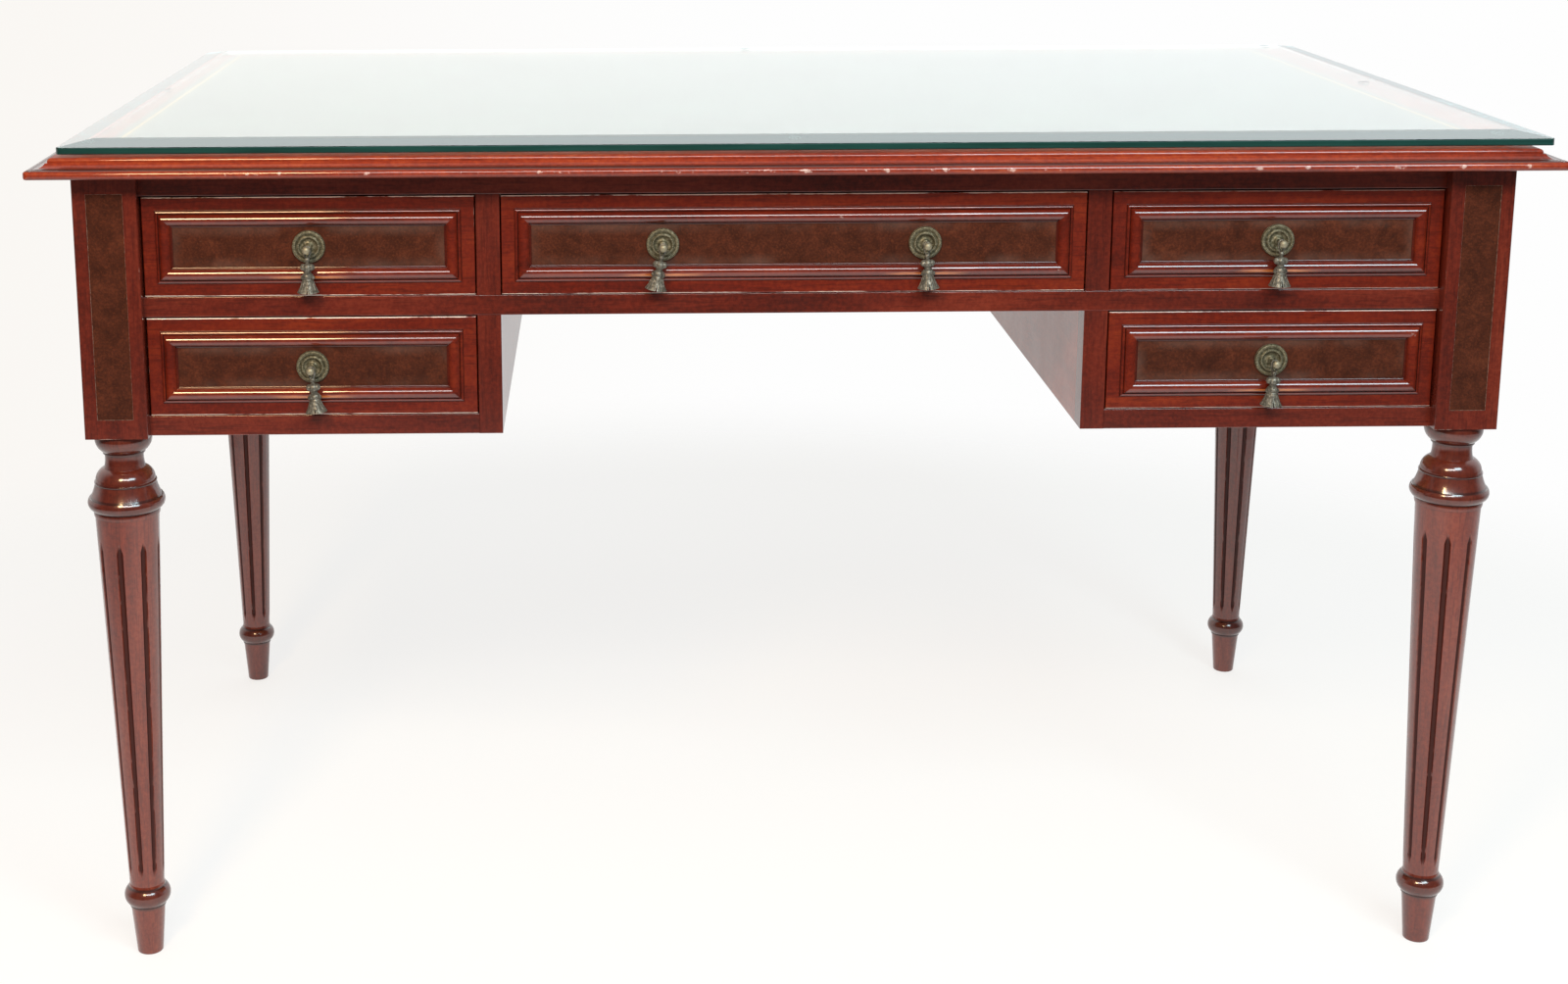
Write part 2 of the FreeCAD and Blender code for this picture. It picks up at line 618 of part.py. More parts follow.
def build_drawer_supports():
    """Runners with guides, kickers under the top, stops behind the drawers and the screws."""
    runners = []
    kickers = []
    stops = []
    stop_face = DRAWER_BACK + STOP_CLEARANCE
    for wall, edge, inward, start, end in runner_lines():
        ledge_x = (wall, edge + inward * LEDGE_WIDTH)
        stop_x = (edge + inward * FRONT_GAP, edge + inward * LEDGE_WIDTH)
        kickers.append(box(ledge_x, (start, end), (TOP_RAIL, POST_TOP)))
        for level in runner_levels(wall):
            runners.append(box(ledge_x, (start, end), (level - RAIL_HEIGHT, level)))
            stops.append(box(stop_x, (stop_face, stop_face + STOP_LENGTH), (level, level + STOP_HEIGHT)))
            if wall != edge:
                runners.append(box((wall, edge), (start, end), (level, level + GUIDE_HEIGHT)))
    spots = screw_spots()
    screws = [top_screw(x, y) for x, y in spots]
    head_radius = SCREW_HEAD_RADIUS + SCREW_CLEARANCE
    holes = []
    for x, y in spots:
        holes.append(Part.makeCone(head_radius, SCREW_HOLE_RADIUS, SCREW_HEAD_DEPTH, V(x, y, TOP_RAIL)))
        holes.append(rod(SCREW_HOLE_RADIUS, V(x, y, TOP_RAIL), V(x, y, POST_TOP)))
    drilled = [kicker.cut(holes) for kicker in kickers]
    export("drawer_runners", *runners)
    export("drawer_kickers", *drilled)
    export("drawer_stops", *stops)
    export("top_screws", *screws)


# Drop pulls

def rosette():
    """Round plate on the Z axis: milled rim, groove, raised ring, dish and central boss."""
    bore = PEG_HOLE_RADIUS
    edge = ROSETTE_RADIUS
    groove = edge - RIM_WIDTH
    ring = groove - GROOVE_WIDTH
    dish = ring - RING_WIDTH
    boss_middle = ((BOSS_RADIUS + bore) / 2, BOSS_HEIGHT - PEG_CLEARANCE)
    return turned([
        ((bore, 0), (edge, 0)),
        ((edge, 0), (edge, RIM_EDGE)),
        ((edge, RIM_EDGE), (edge - RIM_WIDTH / 2, RIM_HEIGHT), (groove, GROOVE_FLOOR)),
        ((groove, GROOVE_FLOOR), (ring, GROOVE_FLOOR)),
        ((ring, GROOVE_FLOOR), ((ring + dish) / 2, RING_HEIGHT), (dish, GROOVE_FLOOR)),
        ((dish, GROOVE_FLOOR), ((dish + BOSS_RADIUS) / 2, DISH_FLOOR), (BOSS_RADIUS, GROOVE_FLOOR)),
        ((BOSS_RADIUS, GROOVE_FLOOR), boss_middle, (bore, BOSS_HEIGHT)),
        ((bore, BOSS_HEIGHT), (bore, 0)),
    ])


def peg():
    """Peg on the Z axis from its nut inside the drawer to the fluted knob that holds the loop."""
    inner = -FRONT_THICK - NUT_THICK - PEG_END
    back = PULL_STANDOFF + KNOB_NECK
    widest = back + KNOB_SWELL
    front = back + KNOB_LENGTH
    diagonal = math.sqrt(0.5)
    crown = (KNOB_RADIUS * diagonal, widest + (front - widest) * diagonal)
    knob = turned([
        ((0, back), (KNOB_BACK_RADIUS, back)),
        ((KNOB_BACK_RADIUS, back), (KNOB_RADIUS, widest)),
        ((KNOB_RADIUS, widest), crown, (0, front)),
        ((0, front), (0, back)),
    ])
    grooves = []
    for index in range(KNOB_GROOVES):
        turn = 2 * math.pi * (index + 0.5) / KNOB_GROOVES
        reach = KNOB_RADIUS + KNOB_GROOVE_OFFSET
        foot = V(reach * math.cos(turn), reach * math.sin(turn), back - KNOB_GROOVE_RADIUS)
        grooves.append(rod(KNOB_GROOVE_RADIUS, foot, foot + V(0, 0, KNOB_LENGTH + 2 * KNOB_GROOVE_RADIUS)))
    shank = rod(PEG_RADIUS, V(0, 0, inner), V(0, 0, widest))
    return shank.fuse(knob.cut(Part.makeCompound(grooves)))


def peg_nut():
    """Round nut against the inside of the drawer front."""
    place = V(0, 0, -FRONT_THICK - NUT_THICK)
    bore = Part.makeCylinder(PEG_HOLE_RADIUS, NUT_THICK, place)
    return Part.makeCylinder(NUT_RADIUS, NUT_THICK, place).cut(bore)


def tassel_loop():
    """Wire loop in the plane y = 0 that hangs from its apex at the origin."""
    centre = -LOOP_RADIUS
    arch = Part.makeTorus(LOOP_RADIUS, WIRE_RADIUS, V(0, 0, centre), Y_AXIS)
    below = 2 * (LOOP_RADIUS + WIRE_RADIUS)
    arch = arch.cut(box((-below, below), (-below, below), (centre - below, centre)))
    loop = arch
    for side in (-1, 1):
        shoulder = V(side * LOOP_RADIUS, 0, centre)
        knee = V(side * LOOP_RADIUS, 0, centre - LOOP_STRAIGHT)
        foot = V(side * LOOP_FOOT, 0, -TASSEL_HEAD - WIRE_RADIUS)
        loop = loop.fuse([rod(WIRE_RADIUS, shoulder, knee), Part.makeSphere(WIRE_RADIUS, knee)])
        loop = loop.fuse(rod(WIRE_RADIUS, knee, foot))
    return loop


def tassel_body():
    """Turned bead, knot, tie and flared skirt with a split, hanging below the loop."""
    bead_end = -TASSEL_HEAD - HEAD_BEAD_LENGTH
    knot_top = bead_end - STEM_LENGTH
    knot_middle = knot_top - KNOT_LENGTH / 2
    knot_end = knot_top - KNOT_LENGTH
    band_top = knot_end - NECK_LENGTH
    band_end = band_top - BAND_LENGTH
    skirt_top = band_end - SKIRT_STEP
    skirt_end = skirt_top - SKIRT_LENGTH
    flare = ((SKIRT_TOP_RADIUS + SKIRT_RADIUS) / 2 - SKIRT_SAG, skirt_top - SKIRT_LENGTH / 2)
    bead_middle = (HEAD_BEAD_RADIUS, -TASSEL_HEAD - HEAD_BEAD_LENGTH / 2)
    crown = (SKIRT_RADIUS / 2, skirt_end - 0.75 * SKIRT_CROWN)
    body = turned([
        ((0, -TASSEL_HEAD), bead_middle, (STEM_RADIUS, bead_end)),
        ((STEM_RADIUS, bead_end), (STEM_RADIUS, knot_top)),
        ((STEM_RADIUS, knot_top), (KNOT_RADIUS, knot_middle), (NECK_RADIUS, knot_end)),
        ((NECK_RADIUS, knot_end), (NECK_RADIUS, band_top)),
        ((NECK_RADIUS, band_top), (BAND_RADIUS, band_top - BAND_LENGTH / 2), (BAND_END_RADIUS, band_end)),
        ((BAND_END_RADIUS, band_end), (SKIRT_TOP_RADIUS, skirt_top)),
        ((SKIRT_TOP_RADIUS, skirt_top), flare, (SKIRT_RADIUS, skirt_end)),
        ((SKIRT_RADIUS, skirt_end), crown, (0, skirt_end - SKIRT_CROWN)),
        ((0, skirt_end - SKIRT_CROWN), (0, -TASSEL_HEAD)),
    ])
    lobe_spots = [V(side * KNOT_LOBE_OFFSET, 0, knot_middle) for side in (-1, 1)]
    lobes = [Part.makeSphere(KNOT_LOBE_RADIUS, spot) for spot in lobe_spots]
    grooves = []
    for index in range(SKIRT_RIBS):
        turn = 2 * math.pi * (index + 0.5) / SKIRT_RIBS
        way = V(math.cos(turn), math.sin(turn), 0)
        high = way * SKIRT_TOP_RADIUS + V(0, 0, skirt_top - RIB_GROOVE_RADIUS)
        low = way * SKIRT_RADIUS + V(0, 0, skirt_end - SKIRT_CROWN)
        grooves.append(rod(RIB_GROOVE_RADIUS, high, low))
    tie_level = band_end + SKIRT_STEP
    ties = [Part.makeSphere(TIE_BALL_RADIUS, V(side * TIE_BALL_OFFSET, 0, tie_level)) for side in (-1, 1)]
    foot = skirt_end - 2 * SKIRT_CROWN
    corners = [(-SKIRT_SPLIT / 2, foot), (SKIRT_SPLIT / 2, foot), (0, foot + SKIRT_SPLIT_RISE)]
    wedge = face(chain(corners), lambda x, z: V(x, -SKIRT_RADIUS, z))
    split = wedge.extrude(V(0, 2 * SKIRT_RADIUS, 0))
    return body.cut(Part.makeCompound(grooves)).cut(split).fuse(lobes + ties)


def build_tassels(pull_spots):
    """One hanging tassel for each pull, leaning as it comes to rest."""
    pattern = tassel_loop().fuse(tassel_body()).removeSplitter()
    pattern.translate(V(0, FACE_Y - PULL_STANDOFF, LOOP_APEX))
    for name, (x, z) in pull_spots.items():
        tassel = pattern.copy()
        tassel.rotate(ORIGIN, Y_AXIS, TASSEL_LEAN[name])
        tassel.translate(V(x, 0, z))
        export("tassel_" + name, tassel)


# Drawers

def drawer_side(x, level):
    """Drawer side with dovetails that reach into the drawer front."""
    shoulder = FACE_Y + FRONT_THICK
    low = level + SIDE_LIFT
    side = box(x, (shoulder, DRAWER_BACK), (low, low + SIDE_HEIGHT))
    pitch = SIDE_HEIGHT / TAIL_COUNT
    tip = shoulder - TAIL_LENGTH
    for index in range(TAIL_COUNT):
        z = low + (index + 0.5) * pitch
        outline = chain([
            (shoulder, z - TAIL_ROOT / 2),
            (tip, z - TAIL_TIP / 2),
            (tip, z + TAIL_TIP / 2),
            (shoulder, z + TAIL_ROOT / 2),
        ])
        tail = face(outline, lambda y, height: V(min(x), y, height)).extrude(V(SIDE_THICK, 0, 0))
        side = side.fuse(tail)
    return side.removeSplitter()


def build_drawer(name, middle, width, level, pull_offsets):
    """One drawer: front, moulding, veneer panel, dovetailed box and pull fittings."""
    half = width / 2 - FRONT_GAP
    front_low = level + FRONT_LIFT
    front_high = level + OPENING_HEIGHT - FRONT_GAP
    centre_z = (front_low + front_high) / 2
    shoulder = FACE_Y + FRONT_THICK
    inside = half - SIDE_THICK
    low = level + SIDE_LIFT
    floor = low + BOTTOM_RISE + BOTTOM_THICK
    front = box((middle - half, middle + half), (FACE_Y, shoulder), (front_low, front_high))
    front = front.makeFillet(FRONT_ROUND, edges_on_front(front, FACE_Y))
    bottom = box(
        (middle - inside - BOTTOM_GROOVE, middle + inside + BOTTOM_GROOVE),
        (shoulder - BOTTOM_GROOVE, DRAWER_BACK),
        (low + BOTTOM_RISE, floor),
    )
    back = box(
        (middle - inside - BACK_HOUSING, middle + inside + BACK_HOUSING),
        (DRAWER_BACK - 2 * SIDE_THICK, DRAWER_BACK - SIDE_THICK),
        (floor, low + SIDE_HEIGHT),
    )
    sides = [drawer_side((middle + i * inside, middle + i * half), level) for i in (-1, 1)]
    front = front.cut(sides + [bottom])
    sides = [side.cut([bottom, back]) for side in sides]
    field = (2 * (half - MOULDING_MARGIN), front_high - front_low - 2 * MOULDING_MARGIN)
    strips, sheet = framed_panel(field[0], field[1], 0, V(middle, FACE_Y, centre_z))
    fittings = []
    for offset in pull_offsets:
        x = middle + offset
        hole = rod(PEG_HOLE_RADIUS, V(x, FACE_Y - VENEER_THICK, centre_z), V(x, shoulder, centre_z))
        front = front.cut(hole)
        sheet = sheet.cut(hole)
        plate = rosette()
        plate.translate(V(0, 0, VENEER_THICK))
        fittings += [outward(piece, x, centre_z) for piece in (plate, peg(), peg_nut())]
    prefix = "drawer_" + name
    export(prefix + "_front", front)
    export(prefix + "_moulding", *strips)
    export(prefix + "_veneer", sheet)
    export(prefix + "_box", *(sides + [back, bottom]))
    export(prefix + "_pull", *fittings)
    return [(middle + offset, centre_z) for offset in pull_offsets]


def build_drawers():
    """Five drawers and the tassels on their pulls."""
    spots = {}
    for side, direction in SIDES.items():
        for row, level in (("upper", UPPER_OPENING), ("lower", LOWER_OPENING)):
            name = row + "_" + side
            middle = direction * SIDE_OPENING_MIDDLE
            spots[name] = build_drawer(name, middle, SIDE_OPENING_WIDTH, level, (0.0,))[0]
    offsets = (-CENTRE_PULL_OFFSET, CENTRE_PULL_OFFSET)
    pair = build_drawer("centre", 0.0, KNEEHOLE_WIDTH, UPPER_OPENING, offsets)
    spots["centre_left"], spots["centre_right"] = pair
    build_tassels(spots)


os.makedirs("parts", exist_ok=True)
build_top(screw_spots())
build_legs_and_posts()
build_front_frame()
build_panels()
build_drawer_supports()
build_drawers()
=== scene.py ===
"""The finished look of a mahogany writing desk: five drawers, tassel pulls, tooled leather and a glass top.

All sizes are in metres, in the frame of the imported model: X across the desk, Y from its front to its
back, Z up from the floor.
"""

from __future__ import annotations

import logging
import math
from dataclasses import dataclass
from enum import Enum
from typing import Iterable, Optional, Sequence, Union

import bmesh
import bpy
from mathutils import Matrix, Vector


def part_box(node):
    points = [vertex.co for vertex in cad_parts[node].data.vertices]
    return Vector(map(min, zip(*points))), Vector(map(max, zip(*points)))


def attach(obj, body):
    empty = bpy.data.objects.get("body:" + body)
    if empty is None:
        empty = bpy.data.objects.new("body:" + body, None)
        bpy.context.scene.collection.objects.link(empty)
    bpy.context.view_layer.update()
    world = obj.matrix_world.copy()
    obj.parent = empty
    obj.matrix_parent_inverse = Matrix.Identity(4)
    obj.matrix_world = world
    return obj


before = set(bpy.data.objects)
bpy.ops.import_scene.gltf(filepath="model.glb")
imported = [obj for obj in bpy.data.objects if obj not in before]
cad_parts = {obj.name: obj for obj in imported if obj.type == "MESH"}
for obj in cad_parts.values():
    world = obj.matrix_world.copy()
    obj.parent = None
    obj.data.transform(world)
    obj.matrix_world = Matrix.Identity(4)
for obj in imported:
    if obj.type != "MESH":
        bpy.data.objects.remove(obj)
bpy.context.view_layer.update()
MM = 0.001

# The legs and the posts above them stand on these axes, left and right, front and rear.
LEG_AXIS_X = 599 * MM
LEG_AXIS_Y = 339 * MM

log = logging.getLogger("writing_desk")

Box = tuple[Vector, Vector]
Colour = tuple[float, float, float, float]
Stops = Sequence[tuple[float, Colour]]
Triple = tuple[float, float, float]
Socket = bpy.types.NodeSocket
Wire = Union[float, Sequence[float], Socket]


def tone(red: int, green: int, blue: int) -> Colour:
    """Turns a screen colour of 0 to 255 into the linear colour that a shader takes.

    Args:
        red: Red part on the screen.
        green: Green part on the screen.
        blue: Blue part on the screen.

    Returns:
        The linear colour with full cover.
    """
    def linear(part: int) -> float:
        """Linear value of one part."""
        share = part / 255
        return share / 12.92 if share <= 0.04045 else ((share + 0.055) / 1.055) ** 2.4

    return (linear(red), linear(green), linear(blue), 1.0)


class Grain(Enum):
    """The way that the grain of a board runs, as how much its figure is squeezed on each axis."""

    ALONG_WIDTH = (1.0, 14.0, 14.0)
    ALONG_DEPTH = (14.0, 1.0, 14.0)
    ALONG_HEIGHT = (14.0, 14.0, 1.0)


class MarkedPart(Enum):
    """The part of a piece that is knocked first and carries the painted highlights, by which of the three
    distances to its box counts.
    """

    CREST = 0
    ARRIS = 1


@dataclass(frozen=True)
class Clouds:
    """One kind of cloudy noise: clouds to the metre, octaves of finer ones, their share, and their bend."""

    scale: float
    detail: float = 2.0
    rough: float = 0.5
    bend: float = 0.0


# Stained wood, what has worn it, and the painted highlights along its edges.
WOOD_STREAKS = Clouds(3.0, 5.0, 0.62, 0.6)
WOOD_CLOUDS = Clouds(6.0, 4.0, 0.6)
WOOD_MOTTLE = Clouds(260.0, 4.0, 0.7)
WOOD_PORES = Clouds(34.0, 3.0, 0.65)
LACQUER_HAZE = Clouds(17.0, 6.0, 0.7)
LACQUER_RIPPLE = Clouds(150.0, 3.0)
EDGE_MARK_RAGS = Clouds(300.0, 4.0, 0.7)
EDGE_MARK_RUNS = Clouds(30.0, 4.0, 0.65)
NOSE_EDGE_MARK_RUNS = Clouds(75.0, 4.0, 0.65)
RUB_STREAKS = Clouds(1.0, 3.0)
RUB_SQUEEZE = (60.0, 400.0, 700.0)

# Burl veneer and the pale line round the inlays.
BURL_PULL = Clouds(24.0, 4.0)
BURL_CLOUDS = Clouds(62.0, 8.0, 0.68, 0.5)
BURL_SPECKLE = Clouds(520.0, 3.0, 0.7)
BURL_SCUFFS = Clouds(90.0, 5.0, 0.75)
BURL_RELIEF = Clouds(210.0)
DUST_PATCHES = Clouds(16.0, 4.0, 0.6)
RIM_LINE_RAGS = Clouds(240.0, 4.0, 0.7)

# Metal, pale wood, leather, glass and plastic.
PATINA = Clouds(420.0, 5.0, 0.65)
CASTING_GRAIN = Clouds(1600.0)
TASSEL_STRANDS = Clouds(900.0)
ZINC_SPOTS = Clouds(700.0, 4.0, 0.6)
PALE_RINGS = Clouds(4.0, 5.0, 0.6, 0.8)
PALE_PORES = Clouds(44.0, 3.0, 0.6)
HIDE_CLOUDS = Clouds(14.0, 5.0, 0.6)
GILT_WEAR = Clouds(180.0, 4.0, 0.7)
GLASS_SMEARS = Clouds(6.0, 5.0, 0.7, 0.8)
EDGE_STREAKS = Clouds(14.0, 4.0)
PAD_CLOUDS = Clouds(500.0, 3.0)

# A piece's own share of this step moves its figure away from its neighbour's.
PIECE_STEP = (7.3, 5.1, 9.7)


class Graph:
    """The nodes of one material or of the world, added and joined by short calls."""

    def __init__(self, tree: bpy.types.NodeTree) -> None:
        """Takes over a node tree and empties it."""
        tree.nodes.clear()
        self.tree = tree

    def join(self, value: Wire, socket: Socket) -> None:
        """Links a socket's output to an input, or sets a plain value on it.

        Args:
            value: An output socket, a number or a row of numbers.
            socket: The input that takes it.
        """
        if isinstance(value, Socket):
            self.tree.links.new(value, socket)
        else:
            socket.default_value = value

    def node(self, kind: str, inputs: Optional[dict] = None, **settings: object) -> bpy.types.Node:
        """Adds one node.

        Args:
            kind: The node's type without its ShaderNode prefix.
            inputs: Values or links by input name or number.
            **settings: Properties of the node itself.

        Returns:
            The new node.
        """
        made = self.tree.nodes.new("ShaderNode" + kind)
        for name, value in settings.items():
            setattr(made, name, value)
        for name, value in (inputs or {}).items():
            self.join(value, made.inputs[name])
        return made

    def place(self) -> Socket:
        """The point on the object, in metres of the desk's own frame."""
        return self.node("TexCoord").outputs["Object"]

    def parts(self) -> list[Socket]:
        """X, Y and Z of the point on the object."""
        return list(self.node("SeparateXYZ", {0: self.place()}).outputs)

    def own_place(self) -> Socket:
        """The point on the object, moved by a different amount for each piece so that no two match."""
        chance = self.node("ObjectInfo").outputs["Random"]
        return self.moved(self.place(), self.scaled(PIECE_STEP, chance))

    def scaled(self, point: Wire, factor: Wire) -> Socket:
        """A point times one number."""
        return self.node("VectorMath", {0: point, 3: factor}, operation="SCALE").outputs[0]

    def moved(self, point: Wire, step: Wire) -> Socket:
        """A point moved by a step."""
        return self.node("VectorMath", {0: point, 1: step}, operation="ADD").outputs[0]

    def squeeze(self, point: Wire, scale: Sequence[float]) -> Socket:
        """A point scaled by its own factor on each axis."""
        return self.node("Mapping", {"Vector": point, "Scale": scale}).outputs[0]

    def clouds(self, point: Wire, kind: Clouds) -> bpy.types.Node:
        """Adds cloudy noise, read at a point.

        Args:
            point: Where it is read.
            kind: Scale and roughness of the clouds.

        Returns:
            The noise node, with its value and its colour as outputs.
        """
        return self.node("TexNoise", {
            "Vector": point, "Scale": kind.scale, "Detail": kind.detail, "Roughness": kind.rough,
            "Distortion": kind.bend,
        })

    def noise(self, point: Wire, kind: Clouds) -> Socket:
        """Cloudy noise from 0 to 1, read at a point."""
        return self.clouds(point, kind).outputs[0]

    def math(self, operation: str, first: Wire, second: Wire = 0.0) -> Socket:
        """One sum of two values, such as ADD, MULTIPLY or MINIMUM."""
        return self.node("Math", {0: first, 1: second}, operation=operation).outputs[0]

    def apart(self, first: Wire, second: Wire) -> Socket:
        """Distance between two values."""
        return self.math("ABSOLUTE", self.math("SUBTRACT", first, second))

    def ease(self, value: Wire, start: float, end: float, low: float = 0.0,
             high: float = 1.0) -> Socket:
        """Smooth step of a value, from low before the start to high after the end."""
        inputs = {"Value": value, "From Min": start, "From Max": end, "To Min": low, "To Max": high}
        return self.node("MapRange", inputs, interpolation_type="SMOOTHSTEP").outputs[0]

    def ramp(self, value: Wire, stops: Stops) -> Socket:
        """Turns a value into a colour.

        Args:
            value: The value to follow.
            stops: Places from 0 to 1, each with its colour.

        Returns:
            The colour.
        """
        made = self.node("ValToRGB", {0: value})
        elements = made.color_ramp.elements
        while len(elements) < len(stops):
            elements.new(1.0)
        for element, (place, colour) in zip(elements, stops):
            element.position = place
            element.color = colour
        return made.outputs[0]

    def mix(self, share: Wire, first: Wire, second: Wire) -> Socket:
        """Mixes two colours, with a share of the second over the first."""
        return self.node("Mix", {0: share, 6: first, 7: second}, data_type="RGBA").outputs[2]

    def bump(self, height: Wire, depth: float, strength: float = 1.0,
             below: Optional[Socket] = None) -> Socket:
        """Relief of a surface.

        Args:
            height: Relief from 0 to 1.
            depth: What 1 stands for, in metres.
            strength: Share of the relief that shows.
            below: A coarser relief that this one lies on.

        Returns:
            The bent normal.
        """
        inputs = {"Height": height, "Distance": depth, "Strength": strength}
        if below is not None:
            inputs["Normal"] = below
        return self.node("Bump", inputs).outputs[0]

    def finish(self, shader: Socket, kind: str = "OutputMaterial") -> bpy.types.Node:
        """Joins a shader to the output of the tree."""
        return self.node(kind, {"Surface": shader})

    def surface(self, inputs: dict[str, Wire]) -> None:
        """Joins a principled shader with these inputs to the output of the tree."""
        self.finish(self.node("BsdfPrincipled", inputs).outputs[0])


class Finish:
    """What a surface is made of and how it looks."""

    name: str

    def wire(self, graph: Graph) -> None:
        """Fills the empty nodes of the finish's new material."""
        raise NotImplementedError

    def material(self) -> bpy.types.Material:
        """Makes the material, once for each name.

        Returns:
            The material of this finish.
        """
        made = bpy.data.materials.get("look_" + self.name)
        if made is None:
            made = bpy.data.materials.new("look_" + self.name)
            made.use_nodes = True
            self.wire(Graph(made.node_tree))
        return made

    def dress(self, nodes: Iterable[str]) -> None:
        """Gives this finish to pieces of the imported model.

        Args:
            nodes: Names of the pieces.
        """
        for node in nodes:
            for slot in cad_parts[node].material_slots:
                slot.material = self.material()
            log.info("%s dressed in %s", node, self.name)


@dataclass(frozen=True)
class WoodTones:
    """Colours of stained mahogany from its pores to its light streaks."""

    dark: Colour
    middle: Colour
    light: Colour


CARCASS_TONES = WoodTones(tone(58, 17, 10), tone(95, 30, 17), tone(118, 45, 28))
DRAWER_TONES = WoodTones(tone(62, 15, 6), tone(99, 26, 10), tone(124, 42, 16))
TOP_TONES = WoodTones(tone(92, 24, 11), tone(136, 44, 18), tone(166, 70, 28))
LEG_TONES = WoodTones(tone(76, 24, 13), tone(114, 42, 24), tone(136, 60, 38))
# A paler copy of the carcass mahogany for the kneehole panels: painted sheen and light.
KNEEHOLE_SHEEN_TONES = WoodTones(tone(118, 46, 29), tone(148, 65, 43), tone(168, 88, 63))
# Near-white unlacquered wood, which also paints the highlight along arrises and crests.
BARE_WOOD_AND_HIGHLIGHT = tone(236, 216, 204)
RUBBED_WOOD = tone(205, 122, 66)
# Dark stain and painted shade in the flutes.
FLUTE_SHADE_AND_STAIN = tone(52, 20, 15)
# Darker colour of the turned head and ring, and of the stain and painted shade in level grooves.
TURNED_DARK = tone(50, 16, 11)
# Dirt and painted shade in the low grooves of the drawer mouldings.
HOLLOW_DIRT_AND_SHADE = tone(40, 12, 8)


@dataclass(frozen=True)
class WearAndHighlight:
    """Chips through the lacquer of one piece where it was knocked, and painted highlights along the same
    edges, in broken runs.

    The share is how pale a chip is, as unlacquered wood and painted highlight. Chips reach in by the least
    between runs and by the most within one, and a run is where its noise rises from the one value to the
    other.
    """

    box: Box
    part: MarkedPart
    share: float
    least: float = 0.1 * MM
    most: float = 1.2 * MM
    runs_from: float = 0.42
    runs_to: float = 0.72
    runs: Clouds = EDGE_MARK_RUNS
    ragged: float = 0.8 * MM
    soft: float = 0.25 * MM

    def distance(self, graph: Graph) -> Socket:
        """Distance to the worn and highlighted part: the least or the middle one of the three distances to
        the box's sides.

        Args:
            graph: The material's nodes.

        Returns:
            The distance in metres.
        """
        gaps = []
        for part, low, high in zip(graph.parts(), *self.box):
            under = graph.math("SUBTRACT", part, low)
            over = graph.math("SUBTRACT", high, part)
            gaps.append(graph.math("MINIMUM", under, over))
        least = graph.math("MINIMUM", gaps[0], gaps[1])
        if self.part is MarkedPart.CREST:
            return graph.math("MINIMUM", least, gaps[2])
        most = graph.math("MAXIMUM", gaps[0], gaps[1])
        return graph.math("MAXIMUM", least, graph.math("MINIMUM", most, gaps[2]))

    def bare_and_highlight(self, graph: Graph) -> Socket:
        """Share of unlacquered wood and painted highlight, from 0 to 1, in broken runs along the worn part.

        Args:
            graph: The material's nodes.

        Returns:
            The share of unlacquered wood and painted highlight.
        """
        chips = graph.math("MULTIPLY", graph.noise(graph.place(), EDGE_MARK_RAGS), self.ragged)
        runs = graph.noise(graph.place(), self.runs)
        reach = graph.ease(runs, self.runs_from, self.runs_to, self.least, self.most)
        gap = graph.math("SUBTRACT", graph.math("ADD", self.distance(graph), chips), reach)
        return graph.ease(gap, -self.soft, self.soft, self.share, 0.0)


@dataclass(frozen=True)
class RubbedSpots:
    """Streaks where swinging tassels have rubbed the lacquer off a moulding."""

    across: tuple[float, ...]
    level: float
    full_reach: float = 14 * MM
    last_reach: float = 42 * MM
    full_height: float = 1.6 * MM
    last_height: float = 3.0 * MM
    ragged: float = 2.4 * MM
    cover: float = 0.85

    def share(self, graph: Graph) -> Socket:
        """Share of rubbed wood, from 0 to the cover.

        Args:
            graph: The material's nodes.

        Returns:
            The share of rubbed wood.
        """
        across, _, height = graph.parts()
        streak = graph.noise(graph.squeeze(graph.place(), RUB_SQUEEZE), RUB_STREAKS)
        rags = graph.math("MULTIPLY", streak, self.ragged)
        away = graph.math("ADD", graph.apart(height, self.level), rags)
        band = graph.ease(away, self.full_height, self.last_height, 1.0, 0.0)
        total: Wire = 0.0
        for spot in self.across:
            near = graph.ease(graph.apart(across, spot), self.full_reach, self.last_reach, 1.0, 0.0)
            total = graph.math("MAXIMUM", total, near)
        return graph.math("MULTIPLY", graph.math("MULTIPLY", band, total), self.cover)


